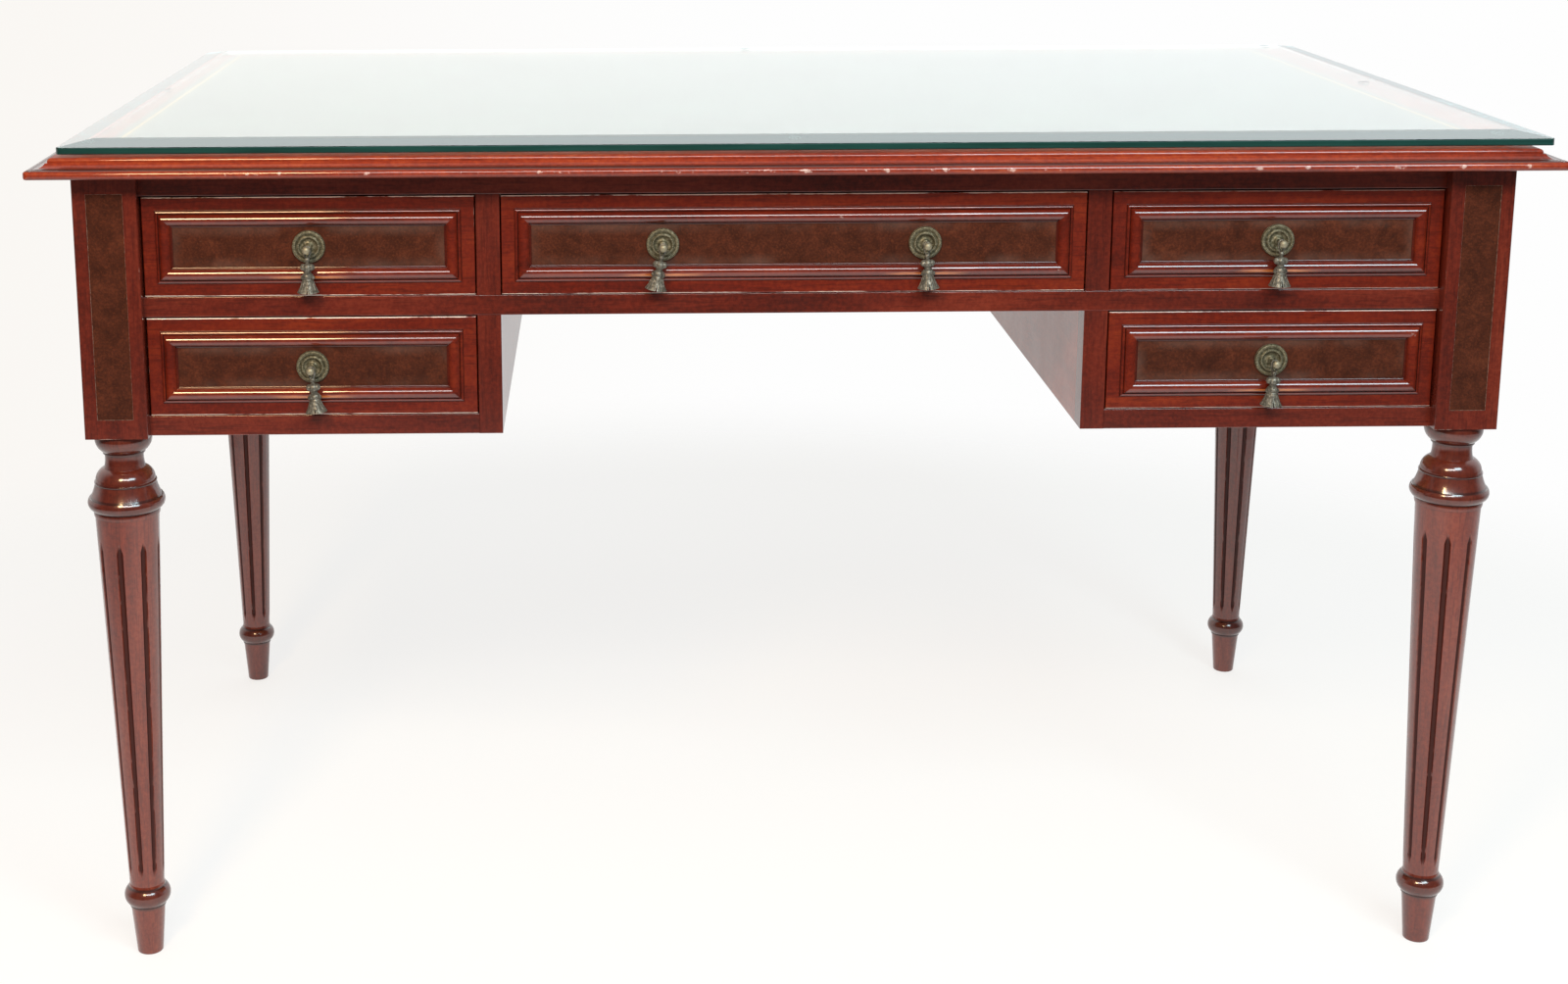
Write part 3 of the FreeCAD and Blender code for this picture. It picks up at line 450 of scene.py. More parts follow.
@dataclass(frozen=True)
class FluteShadeAndStain:
    """Dark stain and painted shade in the flutes, and darker colour on the turned head and rings, of tapered
    legs that stand at four corners.
    """

    low_z: float = 70 * MM
    high_z: float = 430.5 * MM
    low_radius: float = 16.0 * MM
    high_radius: float = 28.5 * MM
    end_gap: float = 1 * MM
    shallow: float = 0.25 * MM
    deep: float = 1.5 * MM
    cover: float = 0.9
    dulling: float = 0.85
    head_fade: float = 5 * MM
    ring_z: float = 58 * MM
    ring_half: float = 9 * MM
    ring_fade: float = 3 * MM
    turned_share: float = 0.5

    def share(self, graph: Graph) -> Socket:
        """Share of stain and painted shade, from 0 on the shaft's face to 1 at the bottom of a flute.

        Args:
            graph: The material's nodes.

        Returns:
            The share of stain and painted shade.
        """
        across, back, height = graph.parts()
        squares = []
        for part, axis in ((across, LEG_AXIS_X), (back, LEG_AXIS_Y)):
            off = graph.math("SUBTRACT", graph.math("ABSOLUTE", part), axis)
            squares.append(graph.math("MULTIPLY", off, off))
        radius = graph.math("SQRT", graph.math("ADD", squares[0], squares[1]))
        face = graph.node("MapRange", {
            "Value": height, "From Min": self.low_z, "From Max": self.high_z,
            "To Min": self.low_radius, "To Max": self.high_radius,
        }).outputs[0]
        # Deeper into a flute, more stain and painted shade.
        stain = graph.ease(graph.math("SUBTRACT", face, radius), self.shallow, self.deep)
        above = graph.math("GREATER_THAN", height, self.low_z + self.end_gap)
        below = graph.math("LESS_THAN", height, self.high_z - self.end_gap)
        return graph.math("MULTIPLY", stain, graph.math("MULTIPLY", above, below))

    def turned(self, graph: Graph) -> Socket:
        """Share of the darker colour on the turned head above the shaft and on the ring below it.

        Args:
            graph: The material's nodes.

        Returns:
            The share of darker colour.
        """
        height = graph.parts()[2]
        head = graph.ease(height, self.high_z, self.high_z + self.head_fade, 0.0, self.turned_share)
        away = graph.apart(height, self.ring_z)
        ring = graph.ease(away, self.ring_half, self.ring_half + self.ring_fade, self.turned_share, 0.0)
        return graph.math("MAXIMUM", head, ring)


@dataclass(frozen=True)
class GrooveShadeLines:
    """Dark lines of old stain and painted shade in the level grooves of a turned or moulded piece."""

    levels: tuple[float, ...]
    half: float = 1.6 * MM
    core: float = 0.25
    most: float = 0.85

    def share(self, graph: Graph) -> Wire:
        """Share of stain and painted shade, from the most in the core of a groove to 0 at half its width.

        Args:
            graph: The material's nodes.

        Returns:
            The share of stain and painted shade.
        """
        height = graph.parts()[2]
        total: Wire = 0.0
        for level in self.levels:
            gap = graph.apart(height, level)
            line = graph.ease(gap, self.core * self.half, self.half, self.most, 0.0)
            total = graph.math("MAXIMUM", total, line)
        return total


@dataclass(frozen=True)
class HollowDirtAndShade:
    """Dark stain and dust, with painted shade, in the low grooves of a moulding on a drawer's face."""

    face: float
    deep: float = 0.8 * MM
    clean: float = 2.6 * MM
    most: float = 0.8

    def share(self, graph: Graph) -> Socket:
        """Share of dirt and painted shade, from the most in the grooves to 0 on the bead."""
        height = graph.math("SUBTRACT", self.face, graph.parts()[1])
        return graph.ease(height, self.deep, self.clean, self.most, 0.0)


@dataclass(frozen=True)
class Mahogany(Finish):
    """Stained mahogany with open pores under clear lacquer, worn where the piece is knocked or rubbed, with
    painted highlights along its worn edges and painted shade in its grooves and flutes.
    """

    name: str
    tones: WoodTones
    grain: Grain
    lacquer: float = 0.10
    # Each mark lays wear and a painted highlight along an edge.
    wear: tuple[WearAndHighlight, ...] = ()
    rubbed: Optional[RubbedSpots] = None
    flutes: Optional[FluteShadeAndStain] = None
    lines: Optional[GrooveShadeLines] = None
    hollow_dirt_and_shade: Optional[HollowDirtAndShade] = None
    dull_above: Optional[float] = None
    dull_fade: float = 0.4 * MM
    coat: float = 1.0
    streak_share: float = 0.6
    cloud_share: float = 0.4
    mottling: float = 0.07
    pore_cover: float = 0.5
    worn_rougher: float = 0.2

    def figure(self, graph: Graph, point: Socket, pores: Socket) -> Socket:
        """Colour of the stained wood.

        Args:
            graph: The material's nodes.
            point: Where the figure is read.
            pores: Noise of the pores.

        Returns:
            The colour before wear.
        """
        along = graph.squeeze(point, self.grain.value)
        streaks = graph.math("MULTIPLY", graph.noise(along, WOOD_STREAKS), self.streak_share)
        clouds = graph.math("MULTIPLY", graph.noise(point, WOOD_CLOUDS), self.cloud_share)
        mottle = graph.ease(graph.noise(point, WOOD_MOTTLE), 0.3, 0.7, -self.mottling, self.mottling)
        depth = graph.math("ADD", graph.math("ADD", streaks, clouds), mottle)
        stops = ((0.30, self.tones.dark), (0.5, self.tones.middle), (0.70, self.tones.light))
        pitted = graph.ease(pores, 0.34, 0.5, self.pore_cover, 0.0)
        return graph.mix(pitted, graph.ramp(depth, stops), self.tones.dark)

    def stained(self, graph: Graph, colour: Socket) -> Socket:
        """Lays the old stain and dirt, with painted shade, in flutes, grooves and moulding hollows, and the
        darker turned head and ring, over the wood.

        Args:
            graph: The material's nodes.
            colour: Colour of the wood.

        Returns:
            The darkened colour.
        """
        # Darker turned head and ring, then stain and painted shade in the flutes.
        if self.flutes is not None:
            colour = graph.mix(self.flutes.turned(graph), colour, TURNED_DARK)
            cover = graph.math("MULTIPLY", self.flutes.share(graph), self.flutes.cover)
            colour = graph.mix(cover, colour, FLUTE_SHADE_AND_STAIN)
        # Stain and painted shade in the level grooves.
        if self.lines is not None:
            colour = graph.mix(self.lines.share(graph), colour, TURNED_DARK)
        # Dirt and painted shade, darker the deeper below the moulding's face.
        if self.hollow_dirt_and_shade is not None:
            colour = graph.mix(self.hollow_dirt_and_shade.share(graph), colour, HOLLOW_DIRT_AND_SHADE)
        return colour

    def coating(self, graph: Graph) -> Wire:
        """Weight of the lacquer: thin in flutes, and none on a level face that lies under glass.

        Args:
            graph: The material's nodes.

        Returns:
            The weight, as a plain number where it is the same all over.
        """
        if self.flutes is not None:
            loss = graph.math("MULTIPLY", self.flutes.share(graph), self.flutes.dulling)
            return graph.math("SUBTRACT", self.coat, loss)
        if self.dull_above is not None:
            start = self.dull_above - self.dull_fade
            return graph.ease(graph.parts()[2], start, self.dull_above, self.coat, 0.0)
        return self.coat

    def wire(self, graph: Graph) -> None:
        """Fills the nodes with figure, pores, lacquer, stain, painted shade, wear and painted highlights.

        Args:
            graph: The empty nodes of the new material.
        """
        point = graph.own_place()
        pores = graph.noise(graph.squeeze(point, self.grain.value), WOOD_PORES)
        colour = self.stained(graph, self.figure(graph, point, pores))
        rough = graph.ease(graph.noise(point, LACQUER_HAZE), 0.3, 0.75, 0.38, 0.54)
        # Pale runs along edges: worn wood and painted highlight.
        for wear in self.wear:
            bare_and_highlight = wear.bare_and_highlight(graph)
            colour = graph.mix(bare_and_highlight, colour, BARE_WOOD_AND_HIGHLIGHT)
            rough = graph.math("ADD", rough, graph.math("MULTIPLY", bare_and_highlight, self.worn_rougher))
        if self.rubbed is not None:
            colour = graph.mix(self.rubbed.share(graph), colour, RUBBED_WOOD)
        ripple = graph.bump(graph.noise(point, LACQUER_RIPPLE), 0.10 * MM, 0.07)
        relief = graph.bump(pores, 0.12 * MM, 0.30, ripple)
        graph.surface({
            "Base Color": colour, "Roughness": rough, "Normal": relief, "Specular IOR Level": 0.12,
            "Coat Weight": self.coating(graph), "Coat Roughness": self.lacquer, "Coat IOR": 1.7,
            "Coat Normal": ripple,
        })


@dataclass(frozen=True)
class InlayEdge:
    """Pale line round the strips let into the four posts."""

    half_width: float = 16 * MM
    low_z: float = 524.5 * MM
    high_z: float = 727 * MM
    reach: float = 0.9 * MM
    ragged: float = 1.4 * MM
    soft: float = 0.3 * MM
    most: float = 0.45

    def share(self, graph: Graph) -> Socket:
        """Share of the pale line, from 0 to the most.

        Args:
            graph: The material's nodes.

        Returns:
            The share of the line.
        """
        across, back, height = graph.parts()
        offsets = []
        for part, axis in ((across, LEG_AXIS_X), (back, LEG_AXIS_Y)):
            offsets.append(graph.apart(graph.math("ABSOLUTE", part), axis))
        side = graph.math("SUBTRACT", self.half_width, graph.math("MINIMUM", offsets[0], offsets[1]))
        foot = graph.math("SUBTRACT", height, self.low_z)
        head = graph.math("SUBTRACT", self.high_z, height)
        rags = graph.math("MULTIPLY", graph.noise(graph.place(), RIM_LINE_RAGS), self.ragged)
        edge = graph.math("MINIMUM", side, graph.math("MINIMUM", foot, head))
        gap = graph.math("ADD", edge, rags)
        return graph.ease(gap, self.reach - self.soft, self.reach + self.soft, self.most, 0.0)


@dataclass(frozen=True)
class BurlVeneer(Finish):
    """Dark burl veneer: clouds of brown, small eyes, fine speckle and satin lacquer, with a pale line round
    the inlays.
    """

    name: str = "burl_veneer"
    edge: Optional[InlayEdge] = None
    dusty: Optional[Box] = None
    dust_reach: float = 11 * MM
    dust_most: float = 0.2
    pull: float = 0.03
    stops: Stops = ((0.26, tone(46, 21, 13)), (0.46, tone(66, 31, 18)),
                    (0.60, tone(78, 37, 22)), (0.80, tone(99, 52, 31)))
    eye: Colour = tone(42, 23, 17)
    dark_speck: Colour = tone(46, 22, 14)
    pale_speck: Colour = tone(118, 60, 34)
    bloom: Colour = tone(128, 104, 94)
    scuff: Colour = tone(150, 116, 92)
    rim_line: Colour = tone(176, 156, 140)

    def dust(self, graph: Graph, box: Box) -> Socket:
        """Share of the pale bloom that polish and dust leave along the rim of a panel.

        Args:
            graph: The material's nodes.
            box: The panel's corners.

        Returns:
            The share of bloom.
        """
        parts = graph.parts()
        gap: Wire = 1.0
        for axis in (0, 2):
            gap = graph.math("MINIMUM", gap, graph.math("SUBTRACT", parts[axis], box[0][axis]))
            gap = graph.math("MINIMUM", gap, graph.math("SUBTRACT", box[1][axis], parts[axis]))
        patches = graph.ease(graph.noise(graph.place(), DUST_PATCHES), 0.38, 0.66)
        return graph.math("MULTIPLY", graph.ease(gap, 0.0, self.dust_reach, self.dust_most, 0.0), patches)

    def wire(self, graph: Graph) -> None:
        """Fills the nodes with pulled clouds, eyes, speckle, dust, scuffs and the pale line round an inlay.

        Args:
            graph: The empty nodes of the new material.
        """
        point = graph.own_place()
        bent = graph.scaled(graph.clouds(point, BURL_PULL).outputs["Color"], self.pull)
        spot = graph.moved(point, bent)
        clouds = graph.noise(spot, BURL_CLOUDS)
        eyes = graph.node("TexVoronoi", {"Vector": spot, "Scale": 130.0}).outputs["Distance"]
        colour = graph.ramp(clouds, self.stops)
        colour = graph.mix(graph.ease(eyes, 0.05, 0.26, 0.5, 0.0), colour, self.eye)
        speckle = graph.noise(point, BURL_SPECKLE)
        colour = graph.mix(graph.ease(speckle, 0.56, 0.36, 0.0, 0.4), colour, self.dark_speck)
        colour = graph.mix(graph.ease(speckle, 0.52, 0.70, 0.0, 0.22), colour, self.pale_speck)
        if self.dusty is not None:
            colour = graph.mix(self.dust(graph, self.dusty), colour, self.bloom)
        scuffs = graph.noise(graph.squeeze(graph.place(), (1.0, 1.0, 3.0)), BURL_SCUFFS)
        colour = graph.mix(graph.ease(scuffs, 0.68, 0.76, 0.0, 0.35), colour, self.scuff)
        if self.edge is not None:
            colour = graph.mix(self.edge.share(graph), colour, self.rim_line)
        graph.surface({
            "Base Color": colour, "Roughness": graph.ease(clouds, 0.3, 0.7, 0.42, 0.55),
            "Normal": graph.bump(graph.noise(point, BURL_RELIEF), 0.08 * MM, 0.3),
            "Specular IOR Level": 0.08, "Coat Weight": 0.5, "Coat Roughness": 0.14,
        })


@dataclass(frozen=True)
class AntiqueBrass(Finish):
    """Cast brass with an old patina, rubbed brighter on what stands proud, with its front painted pale as
    rubbed brass and a painted highlight.
    """

    name: str
    deep: Colour
    body: Colour
    bright: Colour
    threads: float = 0.0
    front_rub_and_glint: float = 0.0
    front_from: float = -371 * MM
    front_to: float = -373 * MM

    def wire(self, graph: Graph) -> None:
        """Fills the nodes with patina, rubbed arrises, the pale front of rubbed brass and painted highlight,
        casting grain and the threads of a tassel.

        Args:
            graph: The empty nodes of the new material.
        """
        point = graph.own_place()
        patina = graph.noise(point, PATINA)
        colour = graph.ramp(patina, ((0.30, self.deep), (0.50, self.body), (0.76, self.bright)))
        proud = graph.node("NewGeometry").outputs["Pointiness"]
        colour = graph.mix(graph.ease(proud, 0.48, 0.40, 0.0, 0.6), colour, self.deep)
        colour = graph.mix(graph.ease(proud, 0.52, 0.62, 0.0, 0.5), colour, self.bright)
        # The frontmost part is painted pale: rubbed brass and a painted highlight.
        front = graph.ease(graph.parts()[1], self.front_from, self.front_to, 0.0, self.front_rub_and_glint)
        colour = graph.mix(front, colour, self.bright)
        relief = graph.bump(graph.noise(point, CASTING_GRAIN), 0.06 * MM, 0.4)
        if self.threads > 0.0:
            strands = graph.noise(graph.squeeze(point, (1.0, 1.0, 0.04)), TASSEL_STRANDS)
            colour = graph.mix(graph.ease(strands, 0.52, 0.40, 0.0, self.threads), colour, self.deep)
            relief = graph.bump(strands, 0.25 * MM, self.threads, relief)
        graph.surface({
            "Base Color": colour, "Roughness": graph.ease(patina, 0.3, 0.7, 0.6, 0.44),
            "Normal": relief, "Metallic": 0.55,
        })


@dataclass(frozen=True)
class DrawerWood(Finish):
    """Pale unstained wood of the drawer boxes and their runners."""

    name: str
    grain: Grain
    stops: Stops = ((0.3, tone(150, 112, 74)), (0.5, tone(188, 149, 104)), (0.72, tone(206, 172, 128)))
    pore: Colour = tone(112, 78, 48)

    def wire(self, graph: Graph) -> None:
        """Fills the nodes with growth rings, pores and a matt face.

        Args:
            graph: The empty nodes of the new material.
        """
        along = graph.squeeze(graph.own_place(), self.grain.value)
        rings = graph.noise(along, PALE_RINGS)
        pores = graph.noise(along, PALE_PORES)
        colour = graph.mix(graph.ease(pores, 0.36, 0.5, 0.45, 0.0), graph.ramp(rings, self.stops), self.pore)
        graph.surface({
            "Base Color": colour, "Roughness": graph.ease(rings, 0.3, 0.7, 0.62, 0.5),
            "Normal": graph.bump(pores, 0.15 * MM, 0.4),
        })


@dataclass(frozen=True)
class TooledLeather(Finish):
    """Dark green hide with pebbled grain and a gilt line tooled round its border."""

    half_width: float
    half_depth: float
    name: str = "tooled_leather"
    line_inset: float = 9 * MM
    line_width: float = 4 * MM
    line_wear: float = 1.2 * MM
    line_soft: float = 0.6 * MM
    stops: Stops = ((0.3, tone(18, 46, 34)), (0.55, tone(27, 62, 46)), (0.8, tone(40, 80, 60)))
    gilt: Colour = tone(222, 178, 96)

    def line(self, graph: Graph) -> Socket:
        """Share of the worn gilt line, from 0 to 1.

        Args:
            graph: The material's nodes.

        Returns:
            The share of gilt.
        """
        across, back, _ = graph.parts()
        side = graph.math("SUBTRACT", self.half_width, graph.math("ABSOLUTE", across))
        end = graph.math("SUBTRACT", self.half_depth, graph.math("ABSOLUTE", back))
        off_line = graph.apart(graph.math("MINIMUM", side, end), self.line_inset)
        worn = graph.math("MULTIPLY", graph.noise(graph.place(), GILT_WEAR), self.line_wear)
        half = self.line_width / 2
        return graph.ease(graph.math("ADD", off_line, worn), half, half + self.line_soft, 1.0, 0.0)

    def wire(self, graph: Graph) -> None:
        """Fills the nodes with hide grain and the gilt line.

        Args:
            graph: The empty nodes of the new material.
        """
        gilt = self.line(graph)
        hide = graph.noise(graph.place(), HIDE_CLOUDS)
        pebbles = graph.node("TexVoronoi", {"Vector": graph.place(), "Scale": 620.0}).outputs["Distance"]
        graph.surface({
            "Base Color": graph.mix(gilt, graph.ramp(hide, self.stops), self.gilt),
            "Roughness": graph.ease(hide, 0.3, 0.7, 0.5, 0.4),
            "Normal": graph.bump(pebbles, 0.15 * MM, 0.5), "Metallic": graph.math("MULTIPLY", gilt, 0.6),
        })


@dataclass(frozen=True)
class PlateGlass(Finish):
    """Clear float glass that looks deep green along its ground edge."""

    box: Box
    corner: float = 7 * MM
    name: str = "plate_glass"
    edge_from: float = 0.5 * MM
    edge_to: float = 0.2 * MM
    bevel: float = 24 * MM
    bevel_fade: float = 2 * MM
    clear_tint: Colour = (0.97, 0.995, 0.985, 1.0)
    bevel_tint: Colour = tone(168, 226, 230)
    edge_dark: Colour = tone(10, 38, 34)
    edge_pale: Colour = tone(36, 80, 74)
    shadow_tint: Colour = (0.86, 0.93, 0.90, 1.0)
    depth_tint: Colour = tone(150, 220, 200)
    depth: float = 6.0

    def reach(self, graph: Graph, corner: float) -> Socket:
        """How far a spot lies outside a rectangle that is set in from the plate's sides.

        Args:
            graph: The material's nodes.
            corner: How far the rectangle is set in.

        Returns:
            The distance in metres, which equals the inset along the plate's sides.
        """
        low, high = self.box
        middle = (low + high) / 2
        half = (high - low) / 2
        parts = graph.parts()
        squares = []
        for axis in range(2):
            away = graph.apart(parts[axis], middle[axis])
            past = graph.math("MAXIMUM", graph.math("SUBTRACT", away, half[axis] - corner), 0.0)
            squares.append(graph.math("MULTIPLY", past, past))
        return graph.math("SQRT", graph.math("ADD", squares[0], squares[1]))

    def wire(self, graph: Graph) -> None:
        """Fills the nodes with clear glass, smears, the green edge, the bevel and the tint of its depth.

        Args:
            graph: The empty nodes of the new material.
        """
        smear = graph.noise(graph.own_place(), GLASS_SMEARS)
        outline = self.reach(graph, self.corner)
        edge = graph.ease(outline, self.corner - self.edge_from, self.corner - self.edge_to)
        bevel = graph.ease(self.reach(graph, self.bevel), 0.0, self.bevel_fade)
        rough = graph.math("ADD", graph.ease(smear, 0.45, 0.8, 0.0, 0.03), graph.math("MULTIPLY", edge, 0.18))
        streaks = graph.noise(graph.squeeze(graph.place(), (1.0, 1.0, 22.0)), EDGE_STREAKS)
        green = graph.mix(streaks, self.edge_dark, self.edge_pale)
        colour = graph.mix(edge, graph.mix(bevel, self.clear_tint, self.bevel_tint), green)
        glass = graph.node("BsdfPrincipled", {
            "Base Color": colour, "Roughness": rough, "IOR": 1.52,
            "Transmission Weight": graph.math("SUBTRACT", 1.0, graph.math("MULTIPLY", edge, 0.9)),
        })
        through = graph.node("BsdfTransparent", {"Color": self.shadow_tint})
        shadow = graph.node("LightPath").outputs["Is Shadow Ray"]
        both = graph.node("MixShader", {0: shadow, 1: glass.outputs[0], 2: through.outputs[0]})
        output = graph.finish(both.outputs[0])
        depth = graph.node("VolumeAbsorption", {"Color": self.depth_tint, "Density": self.depth})
        graph.join(depth.outputs[0], output.inputs["Volume"])


@dataclass(frozen=True)
class ClearPad(Finish):
    """Soft clear plastic of the small feet under the glass."""

    name: str = "clear_pad"
    dull: Colour = tone(226, 232, 228)
    clear: Colour = tone(246, 248, 246)

    def wire(self, graph: Graph) -> None:
        """Fills the nodes with cloudy clear plastic."""
        cloud = graph.noise(graph.own_place(), PAD_CLOUDS)
        graph.surface({
            "Base Color": graph.mix(cloud, self.dull, self.clear),
            "Roughness": graph.ease(cloud, 0.3, 0.7, 0.2, 0.35), "Transmission Weight": 1.0, "IOR": 1.08,
        })


@dataclass(frozen=True)
class ScrewSteel(Finish):
    """Dull zinc-plated steel of the screws under the top."""

    name: str = "screw_steel"
    dull: Colour = tone(120, 118, 112)
    bright: Colour = tone(176, 174, 168)

    def wire(self, graph: Graph) -> None:
        """Fills the nodes with dull spots in the zinc."""
        spots = graph.noise(graph.own_place(), ZINC_SPOTS)
        graph.surface({
            "Base Color": graph.mix(spots, self.dull, self.bright),
            "Roughness": graph.ease(spots, 0.3, 0.7, 0.45, 0.3),
            "Normal": graph.bump(spots, 0.05 * MM, 0.3), "Metallic": 1.0,
        })


# The knob's front is painted pale: rubbed brass and a painted highlight.
ROSETTE_BRASS = AntiqueBrass("rosette_brass", tone(46, 43, 31), tone(90, 85, 63), tone(164, 156, 133),
                             front_rub_and_glint=0.7)
TASSEL_BRASS = AntiqueBrass("tassel_brass", tone(58, 56, 49), tone(110, 106, 96), tone(176, 171, 158),
                            threads=0.5)


def reaching(box: Box, axes: Sequence[int], far: float = 1.0) -> Box:
    """Pushes the sides of a box out of reach on some axes, so that only its other sides count.

    Args:
        box: The box of a piece.
        axes: The axes, 0 to 2, to push out.
        far: How far out.

    Returns:
        The wider box.
    """
    low, high = box[0].copy(), box[1].copy()
    for axis in axes:
        low[axis] -= far
        high[axis] += far
    return low, high


@dataclass
class WritingTop:
    """The moulded board, its leather and the glass plate on its pads."""

    board: str = "top_board"
    leather: str = "leather_inset"
    glass: str = "glass_plate"
    quirk: float = 752.4 * MM
    quirk_half: float = 1.0 * MM
    skin: float = 0.1 * MM

    def dress(self) -> None:
        """Gives each layer of the top its finish."""
        nose = reaching(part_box(self.board), [2])
        # Chips and painted highlights along the nose's crest.
        knocks_and_glints = WearAndHighlight(nose, MarkedPart.CREST, share=0.45, least=-0.4 * MM, most=1.1 * MM, runs_from=0.48,
                      runs_to=0.71, runs=NOSE_EDGE_MARK_RUNS)
        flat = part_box(self.board)[1].z - self.skin
        # A dark line of stain and painted shade in the quirk of the nose.
        lines = GrooveShadeLines((self.quirk,), self.quirk_half)
        Mahogany("top_mahogany", TOP_TONES, Grain.ALONG_WIDTH, lacquer=0.07, wear=(knocks_and_glints,), lines=lines,
                 dull_above=flat, coat=0.62).dress([self.board])
        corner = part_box(self.leather)[1]
        TooledLeather(corner.x, corner.y).dress([self.leather])
        PlateGlass(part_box(self.glass)).dress([self.glass])
        ClearPad().dress(["glass_pads"])
        ScrewSteel().dress(["top_screws"])


@dataclass
class Legs:
    """Four turned and fluted legs."""

    nodes: tuple[str, ...] = ("leg_front_left", "leg_front_right", "leg_rear_left", "leg_rear_right")
    grooves: tuple[float, ...] = (49 * MM, 67 * MM, 436.5 * MM, 448 * MM, 461 * MM, 489 * MM)

    def dress(self) -> None:
        """Gives the legs turned mahogany with stain and painted shade in the flutes and grooves."""
        Mahogany("leg_mahogany", LEG_TONES, Grain.ALONG_HEIGHT, lacquer=0.14, flutes=FluteShadeAndStain(),
                 lines=GrooveShadeLines(self.grooves)).dress(self.nodes)


@dataclass
class Carcass:
    """Posts, rails, panels and the drawers' supports."""

    posts: tuple[str, ...] = ("post_front_left", "post_front_right", "post_rear_left", "post_rear_right")
    rails: tuple[str, ...] = ("front_top_rail", "front_middle_rail", "front_bottom_rails", "back_panels")
    stiles: tuple[str, ...] = ("front_stiles",)
    panels: tuple[str, ...] = ("side_panel_left", "side_panel_right")
    kneehole: tuple[str, ...] = ("kneehole_panel_left", "kneehole_panel_right")
    supports: tuple[str, ...] = ("drawer_runners", "drawer_kickers", "drawer_stops")

    def dress(self) -> None:
        """Gives each board the grain that it was cut with."""
        for post in self.posts:
            # Chips and painted highlights along the post's arrises.
            knocks_and_glints = WearAndHighlight(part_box(post), MarkedPart.ARRIS, share=0.35)
            Mahogany(post, CARCASS_TONES, Grain.ALONG_HEIGHT, wear=(knocks_and_glints,)).dress([post])
        Mahogany("rail_mahogany", CARCASS_TONES, Grain.ALONG_WIDTH).dress(self.rails)
        Mahogany("stile_mahogany", CARCASS_TONES, Grain.ALONG_HEIGHT).dress(self.stiles)
        Mahogany("panel_mahogany", CARCASS_TONES, Grain.ALONG_DEPTH).dress(self.panels)
        # The kneehole panels take the paler copy: painted sheen and light.
        Mahogany("kneehole_mahogany", KNEEHOLE_SHEEN_TONES, Grain.ALONG_DEPTH, coat=0.9).dress(self.kneehole)
        Mahogany("panel_moulding_mahogany", DRAWER_TONES, Grain.ALONG_WIDTH).dress(["panel_mouldings"])
        BurlVeneer().dress(["panel_veneers"])
        BurlVeneer("inlay_veneer", InlayEdge()).dress(["post_inlays"])
        DrawerWood("support_wood", Grain.ALONG_DEPTH).dress(self.supports)


@dataclass
class Drawer:
    """One drawer: front, moulding, veneer, box and its pulls."""

    name: str
    pulls: tuple[float, ...]
    level: float
    # Share of wear and painted highlight along the front's arrises.
    worn: float
    rub_height: float = 6 * MM

    def node(self, part: str) -> str:
        """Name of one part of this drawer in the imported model."""
        return f"drawer_{self.name}_{part}"

    def dress_front(self) -> None:
        """Gives the front its mahogany, with the most wear and painted highlight along its level arrises."""
        front = self.node("front")
        # Level arrises: wear and a painted highlight line; upright arrises fainter.
        level = WearAndHighlight(reaching(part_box(front), [0]), MarkedPart.ARRIS, share=self.worn, least=0.4 * MM,
                     runs_from=0.28, runs_to=0.54)
        upright = WearAndHighlight(reaching(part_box(front), [2]), MarkedPart.ARRIS, share=0.6 * self.worn, least=-0.2 * MM,
                       most=0.7 * MM, runs_from=0.50, runs_to=0.70)
        Mahogany(front, DRAWER_TONES, Grain.ALONG_WIDTH, wear=(level, upright)).dress([front])

    def dress_moulding(self) -> None:
        """Gives the moulding a glossier lacquer, dirt and painted shade in its grooves, chips and painted
        highlights on its crest, and the tassels' rubbed streaks.
        """
        moulding = self.node("moulding")
        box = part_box(moulding)
        # Chips and painted highlights on the moulding's crest.
        knocks_and_glints = WearAndHighlight(reaching(box, [0, 2]), MarkedPart.CREST, share=0.5, least=-0.8 * MM, most=0.7 * MM,
                      runs_from=0.57, runs_to=0.77)
        rubbed = RubbedSpots(self.pulls, box[0].z + self.rub_height)
        Mahogany(moulding, DRAWER_TONES, Grain.ALONG_WIDTH, lacquer=0.05, wear=(knocks_and_glints,),
                 rubbed=rubbed, hollow_dirt_and_shade=HollowDirtAndShade(box[1].y)).dress([moulding])

    def dress(self) -> None:
        """Gives all parts of the drawer their finishes."""
        self.dress_front()
        self.dress_moulding()
        veneer = self.node("veneer")
        BurlVeneer(veneer, dusty=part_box(veneer)).dress([veneer])
        DrawerWood("drawer_box_wood", Grain.ALONG_DEPTH).dress([self.node("box")])
        ROSETTE_BRASS.dress([self.node("pull")])


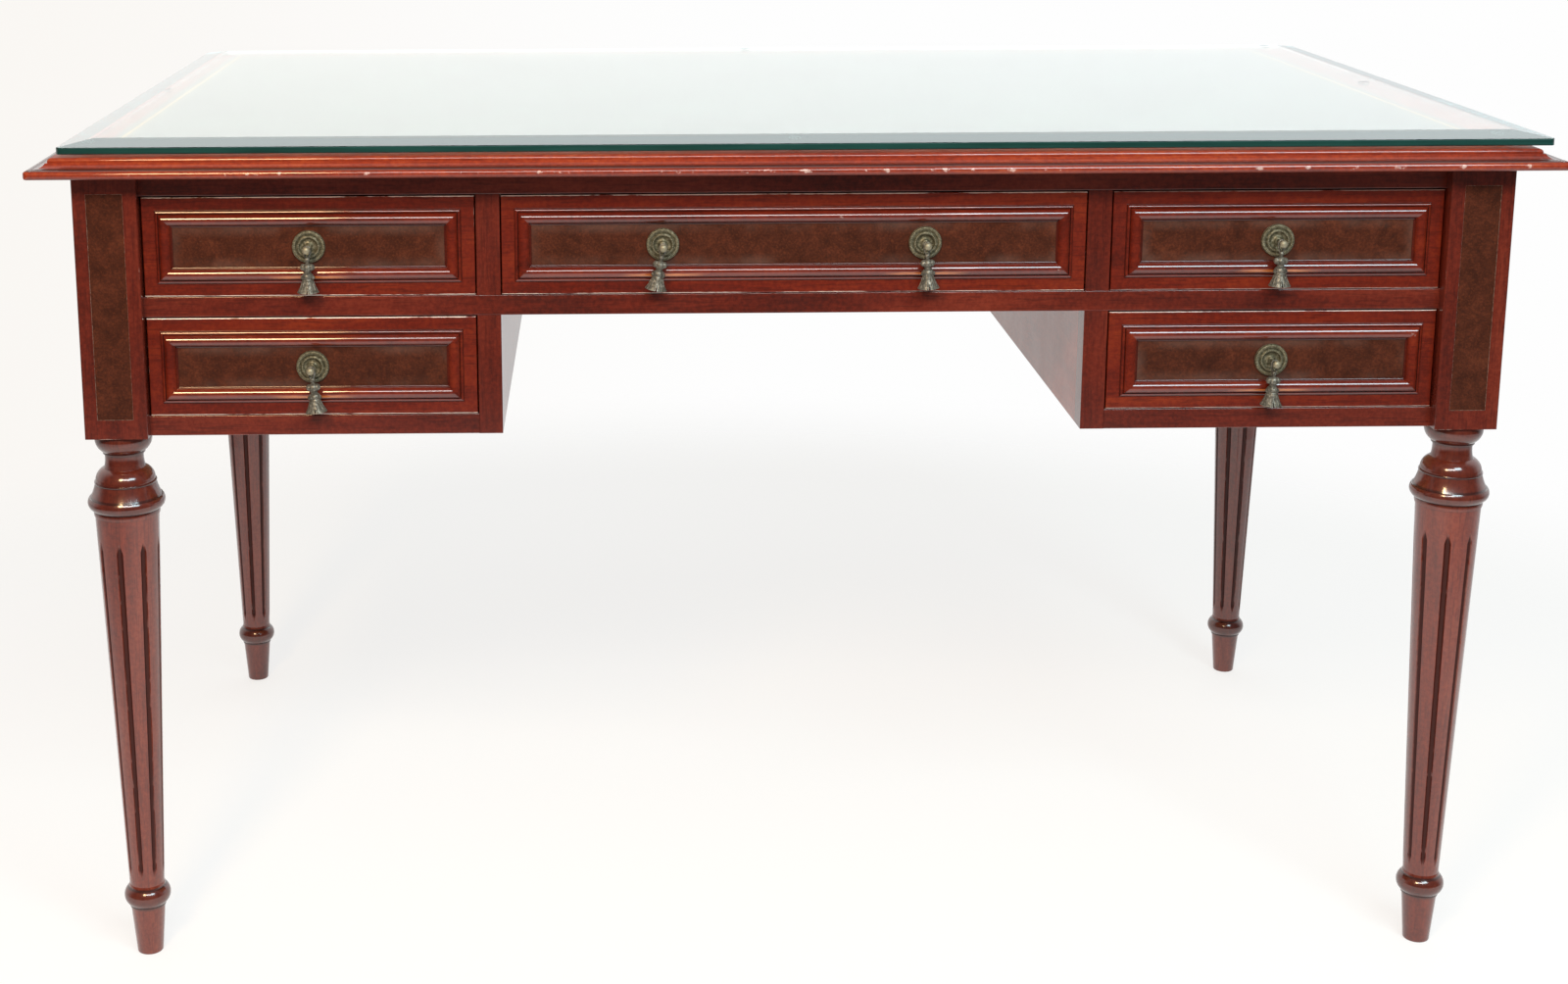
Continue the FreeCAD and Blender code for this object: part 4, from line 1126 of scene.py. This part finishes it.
@dataclass
class PullOrnament:
    """Milled rim and ring of beads on the face of one rosette."""

    name: str
    drawer: str
    x: float
    z: float
    face_y: float = -355.8 * MM
    milling_count: int = 60
    milling_radius: float = 12.8 * MM
    milling_height: float = 2.75 * MM
    milling_half_length: float = 1.5 * MM
    milling_half_width: float = 0.45 * MM
    bead_count: int = 36
    bead_ring: float = 8.9 * MM
    bead_height: float = 3.05 * MM
    bead_radius: float = 0.6 * MM

    def ring(self, mesh: bmesh.types.BMesh, count: int, out: float, height: float, half_length: float,
             half_width: float) -> None:
        """Adds a ring of raised grains that lie along the radius, or of beads where their sizes are equal.

        Args:
            mesh: The mesh that takes them.
            count: How many there are.
            out: Distance from the rosette's middle.
            height: Height above the drawer's face.
            half_length: Half a grain's length along the radius.
            half_width: Half a grain's width and height.
        """
        stretch = Matrix.Diagonal((half_length / half_width, 1.0, 1.0, 1.0))
        for index in range(count):
            turn = Matrix.Rotation(2 * math.pi * index / count, 4, "Y")
            place = turn @ Matrix.Translation((out, -height, 0.0)) @ stretch
            bmesh.ops.create_icosphere(mesh, subdivisions=2, radius=half_width, matrix=place)

    def build(self) -> None:
        """Builds the ornament and fastens it to its drawer."""
        mesh = bmesh.new()
        self.ring(mesh, self.milling_count, self.milling_radius, self.milling_height,
                  self.milling_half_length, self.milling_half_width)
        self.ring(mesh, self.bead_count, self.bead_ring, self.bead_height, self.bead_radius, self.bead_radius)
        bmesh.ops.translate(mesh, verts=mesh.verts, vec=(self.x, self.face_y, self.z))
        for face in mesh.faces:
            face.smooth = True
        data = bpy.data.meshes.new(f"pull_ornament_{self.name}")
        mesh.to_mesh(data)
        mesh.free()
        piece = bpy.data.objects.new(f"pull_ornament_{self.name}", data)
        bpy.context.scene.collection.objects.link(piece)
        data.materials.append(ROSETTE_BRASS.material())
        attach(piece, f"drawer_{self.drawer}")
        log.info("%s built with %d faces", piece.name, len(data.polygons))


@dataclass
class DrawerSet:
    """The five drawers and the six pulls on them."""

    side_x: float = 424.75 * MM
    centre_x: float = 115 * MM
    upper_z: float = 677.65 * MM
    lower_z: float = 569.65 * MM

    def drawers(self) -> list[Drawer]:
        """The drawers from left to right, each with its share of wear and painted highlight.

        Returns:
            The five drawers.
        """
        return [
            Drawer("upper_left", (-self.side_x,), self.upper_z, 0.95),
            Drawer("lower_left", (-self.side_x,), self.lower_z, 0.9),
            Drawer("centre", (-self.centre_x, self.centre_x), self.upper_z, 0.75),
            Drawer("upper_right", (self.side_x,), self.upper_z, 0.3),
            Drawer("lower_right", (self.side_x,), self.lower_z, 0.45),
        ]

    def build(self) -> None:
        """Dresses the drawers and their tassels and adds the ornament of each rosette."""
        for drawer in self.drawers():
            drawer.dress()
            for x in drawer.pulls:
                side = "left" if x < 0 else "right"
                name = drawer.name if len(drawer.pulls) == 1 else f"{drawer.name}_{side}"
                PullOrnament(name, drawer.name, x, drawer.level).build()
                TASSEL_BRASS.dress([f"tassel_{name}"])


@dataclass(frozen=True)
class Lamp:
    """One soft rectangular lamp."""

    name: str
    place: Triple
    aim: Triple
    width: float
    height: float
    power: float
    colour: Triple

    def hang(self) -> None:
        """Hangs the lamp, turned towards its aim."""
        data = bpy.data.lights.new(self.name, "AREA")
        data.shape = "RECTANGLE"
        data.size = self.width
        data.size_y = self.height
        data.energy = self.power
        data.color = self.colour
        lamp = bpy.data.objects.new(self.name, data)
        lamp.location = self.place
        way = Vector(self.aim) - Vector(self.place)
        lamp.rotation_euler = way.to_track_quat("-Z", "Y").to_euler()
        lamp.visible_camera = False
        bpy.context.scene.collection.objects.link(lamp)


@dataclass
class Studio:
    """Pale floor, white surroundings, soft lamps and the camera."""

    wall_left: Colour = tone(250, 247, 243)
    wall_right: Colour = tone(254, 254, 254)
    gloss_left: Colour = (1.0, 0.965, 0.93, 1.0)
    gloss_right: Colour = (0.97, 0.985, 1.0, 1.0)
    fill_tint: Colour = (1.0, 0.985, 0.97, 1.0)
    fill_strength: float = 0.46
    room_least: float = 0.08
    sweep_least: float = 0.03
    sweep_near: float = 0.7
    sweep_rear: float = 0.68
    floor_sides: int = 96
    floor_radius: float = 1.75
    floor_fade: float = 1.15
    floor_pale: Colour = (0.6, 0.593, 0.585, 1.0)
    floor_seen: Colour = (0.3, 0.297, 0.293, 1.0)
    floor_glow: Colour = (1.0, 0.995, 0.985, 1.0)
    floor_glow_strength: float = 0.72
    camera_place: Triple = (-0.1642, -2.2874, 1.0534)
    pitch: float = 12.1214
    yaw: float = 0.5300
    roll: float = -0.2791
    lens: float = 51.59
    sensor_width: float = 36.0
    clip_start: float = 0.02
    shift: tuple[float, float] = (0.10, -0.13)
    lamps: tuple[Lamp, ...] = (
        Lamp("warm_left_lamp", (-0.88, -2.3, 2.0), (-0.5, -0.3, 0.65), 0.4, 0.6, 33.0, (1.0, 0.68, 0.36)),
        Lamp("white_middle_lamp", (-0.05, -2.3, 2.0), (0.0, -0.3, 0.65), 1.2, 0.42, 25.0, (1.0, 0.99, 0.98)),
        Lamp("cool_right_lamp", (1.0, -2.1, 2.25), (0.6, -0.3, 0.65), 1.0, 0.8, 36.0, (0.68, 0.92, 1.0)),
        Lamp("low_rear_lamp", (0.3, 3.0, 1.22), (0.0, 0.0, 0.85), 4.4, 0.8, 3.4, (1.0, 1.0, 1.0)),
        Lamp("high_rear_lamp", (0.3, 3.0, 2.46), (0.0, -0.2, 0.8), 4.4, 0.9, 18.0, (0.84, 1.0, 1.0)),
    )

    def gloss_strength(self, graph: Graph, back: Socket, height: Socket) -> Socket:
        """Brightness that gloss mirrors: the rear and the floor are bright, the room in front is dim.

        Args:
            graph: The world's nodes.
            back: How far a direction points to the rear, from -1 to 1.
            height: How far it points up, from -1 to 1.

        Returns:
            The strength of the surroundings.
        """
        room = graph.ease(back, -0.35, 0.35, self.room_least, 1.0)
        near = graph.ease(height, -0.25, -0.34, self.sweep_least, self.sweep_near)
        rear = graph.ease(back, -0.1, 0.3, self.sweep_least, self.sweep_rear)
        above = graph.ease(height, -0.10, 0.02)
        below = graph.math("SUBTRACT", 1.0, above)
        sweep = graph.math("MULTIPLY", below, graph.math("MAXIMUM", near, rear))
        return graph.math("ADD", graph.math("MULTIPLY", above, room), sweep)

    def world(self) -> None:
        """White round the desk for the camera and glass, dimmer for gloss, with a soft fill of light.

        What is seen or mirrored is a little warmer at the left.
        """
        world = bpy.data.worlds.new("studio")
        world.use_nodes = True
        bpy.context.scene.world = world
        graph = Graph(world.node_tree)
        path = graph.node("LightPath")
        way = graph.node("TexCoord").outputs["Generated"]
        across, back, height = graph.node("SeparateXYZ", {0: way}).outputs
        wall = graph.mix(graph.ease(across, -0.3, 0.1), self.wall_left, self.wall_right)
        seen = graph.node("Background", {"Color": wall, "Strength": 1.0})
        tint = graph.mix(graph.ease(across, -0.4, 0.4), self.gloss_left, self.gloss_right)
        strength = self.gloss_strength(graph, back, height)
        gloss = graph.node("Background", {"Color": tint, "Strength": strength})
        light = graph.node("Background", {"Color": self.fill_tint, "Strength": self.fill_strength})
        glossy = path.outputs["Is Glossy Ray"]
        plain = graph.node("MixShader", {0: glossy, 1: light.outputs[0], 2: gloss.outputs[0]})
        white = graph.math("MAXIMUM", path.outputs["Is Camera Ray"], path.outputs["Is Transmission Ray"])
        both = graph.node("MixShader", {0: white, 1: plain.outputs[0], 2: seen.outputs[0]})
        graph.finish(both.outputs[0], "OutputWorld")

    def floor(self) -> None:
        """A pale round floor that takes the desk's shadow and fades into the white around it."""
        bpy.ops.mesh.primitive_circle_add(vertices=self.floor_sides, radius=self.floor_radius,
                                          fill_type="NGON")
        floor = bpy.context.object
        floor.name = "studio_floor"
        material = bpy.data.materials.new("studio_floor")
        material.use_nodes = True
        graph = Graph(material.node_tree)
        path = graph.node("LightPath")
        seen = graph.math("MAXIMUM", path.outputs["Is Camera Ray"], path.outputs["Is Glossy Ray"])
        seen = graph.math("MAXIMUM", seen, path.outputs["Is Transmission Ray"])
        paper = graph.node("BsdfDiffuse", {"Color": graph.mix(seen, self.floor_pale, self.floor_seen)})
        strength = graph.math("MULTIPLY", seen, self.floor_glow_strength)
        glow = graph.node("Emission", {"Color": self.floor_glow, "Strength": strength})
        lit = graph.node("AddShader", {0: paper.outputs[0], 1: glow.outputs[0]})
        reach = graph.node("VectorMath", {0: graph.place()}, operation="LENGTH").outputs[1]
        fade = graph.ease(reach, self.floor_fade, self.floor_radius)
        clear = graph.node("BsdfTransparent")
        both = graph.node("MixShader", {0: fade, 1: lit.outputs[0], 2: clear.outputs[0]})
        graph.finish(both.outputs[0])
        floor.data.materials.append(material)

    def camera(self) -> None:
        """Sets the camera at the viewing angle of the photograph."""
        pitch, yaw, roll = (math.radians(angle) for angle in (self.pitch, self.yaw, self.roll))
        level = Vector((math.sin(yaw), math.cos(yaw), 0.0))
        side = Vector((math.cos(yaw), -math.sin(yaw), 0.0))
        up = Vector((0.0, 0.0, 1.0))
        forward = math.cos(pitch) * level - math.sin(pitch) * up
        above = math.sin(pitch) * level + math.cos(pitch) * up
        right = math.cos(roll) * side + math.sin(roll) * above
        above = math.cos(roll) * above - math.sin(roll) * side
        data = bpy.data.cameras.new("front_view")
        data.sensor_fit = "HORIZONTAL"
        data.sensor_width = self.sensor_width
        data.lens = self.lens
        data.shift_x, data.shift_y = self.shift
        data.clip_start = self.clip_start
        camera = bpy.data.objects.new("front_view", data)
        turn = Matrix((right, above, -forward)).transposed().to_4x4()
        camera.matrix_world = Matrix.Translation(self.camera_place) @ turn
        bpy.context.scene.collection.objects.link(camera)
        bpy.context.scene.camera = camera

    def build(self) -> None:
        """Sets up everything round the desk."""
        bpy.context.scene.view_settings.view_transform = "Standard"
        self.world()
        self.floor()
        for lamp in self.lamps:
            lamp.hang()
        self.camera()


def main() -> None:
    """Builds the studio and dresses the desk, one sub-assembly after another."""
    logging.basicConfig(level=logging.INFO, format="%(name)s: %(message)s")
    Studio().build()
    WritingTop().dress()
    Legs().dress()
    Carcass().dress()
    DrawerSet().build()


if __name__ == "__main__":
    main()
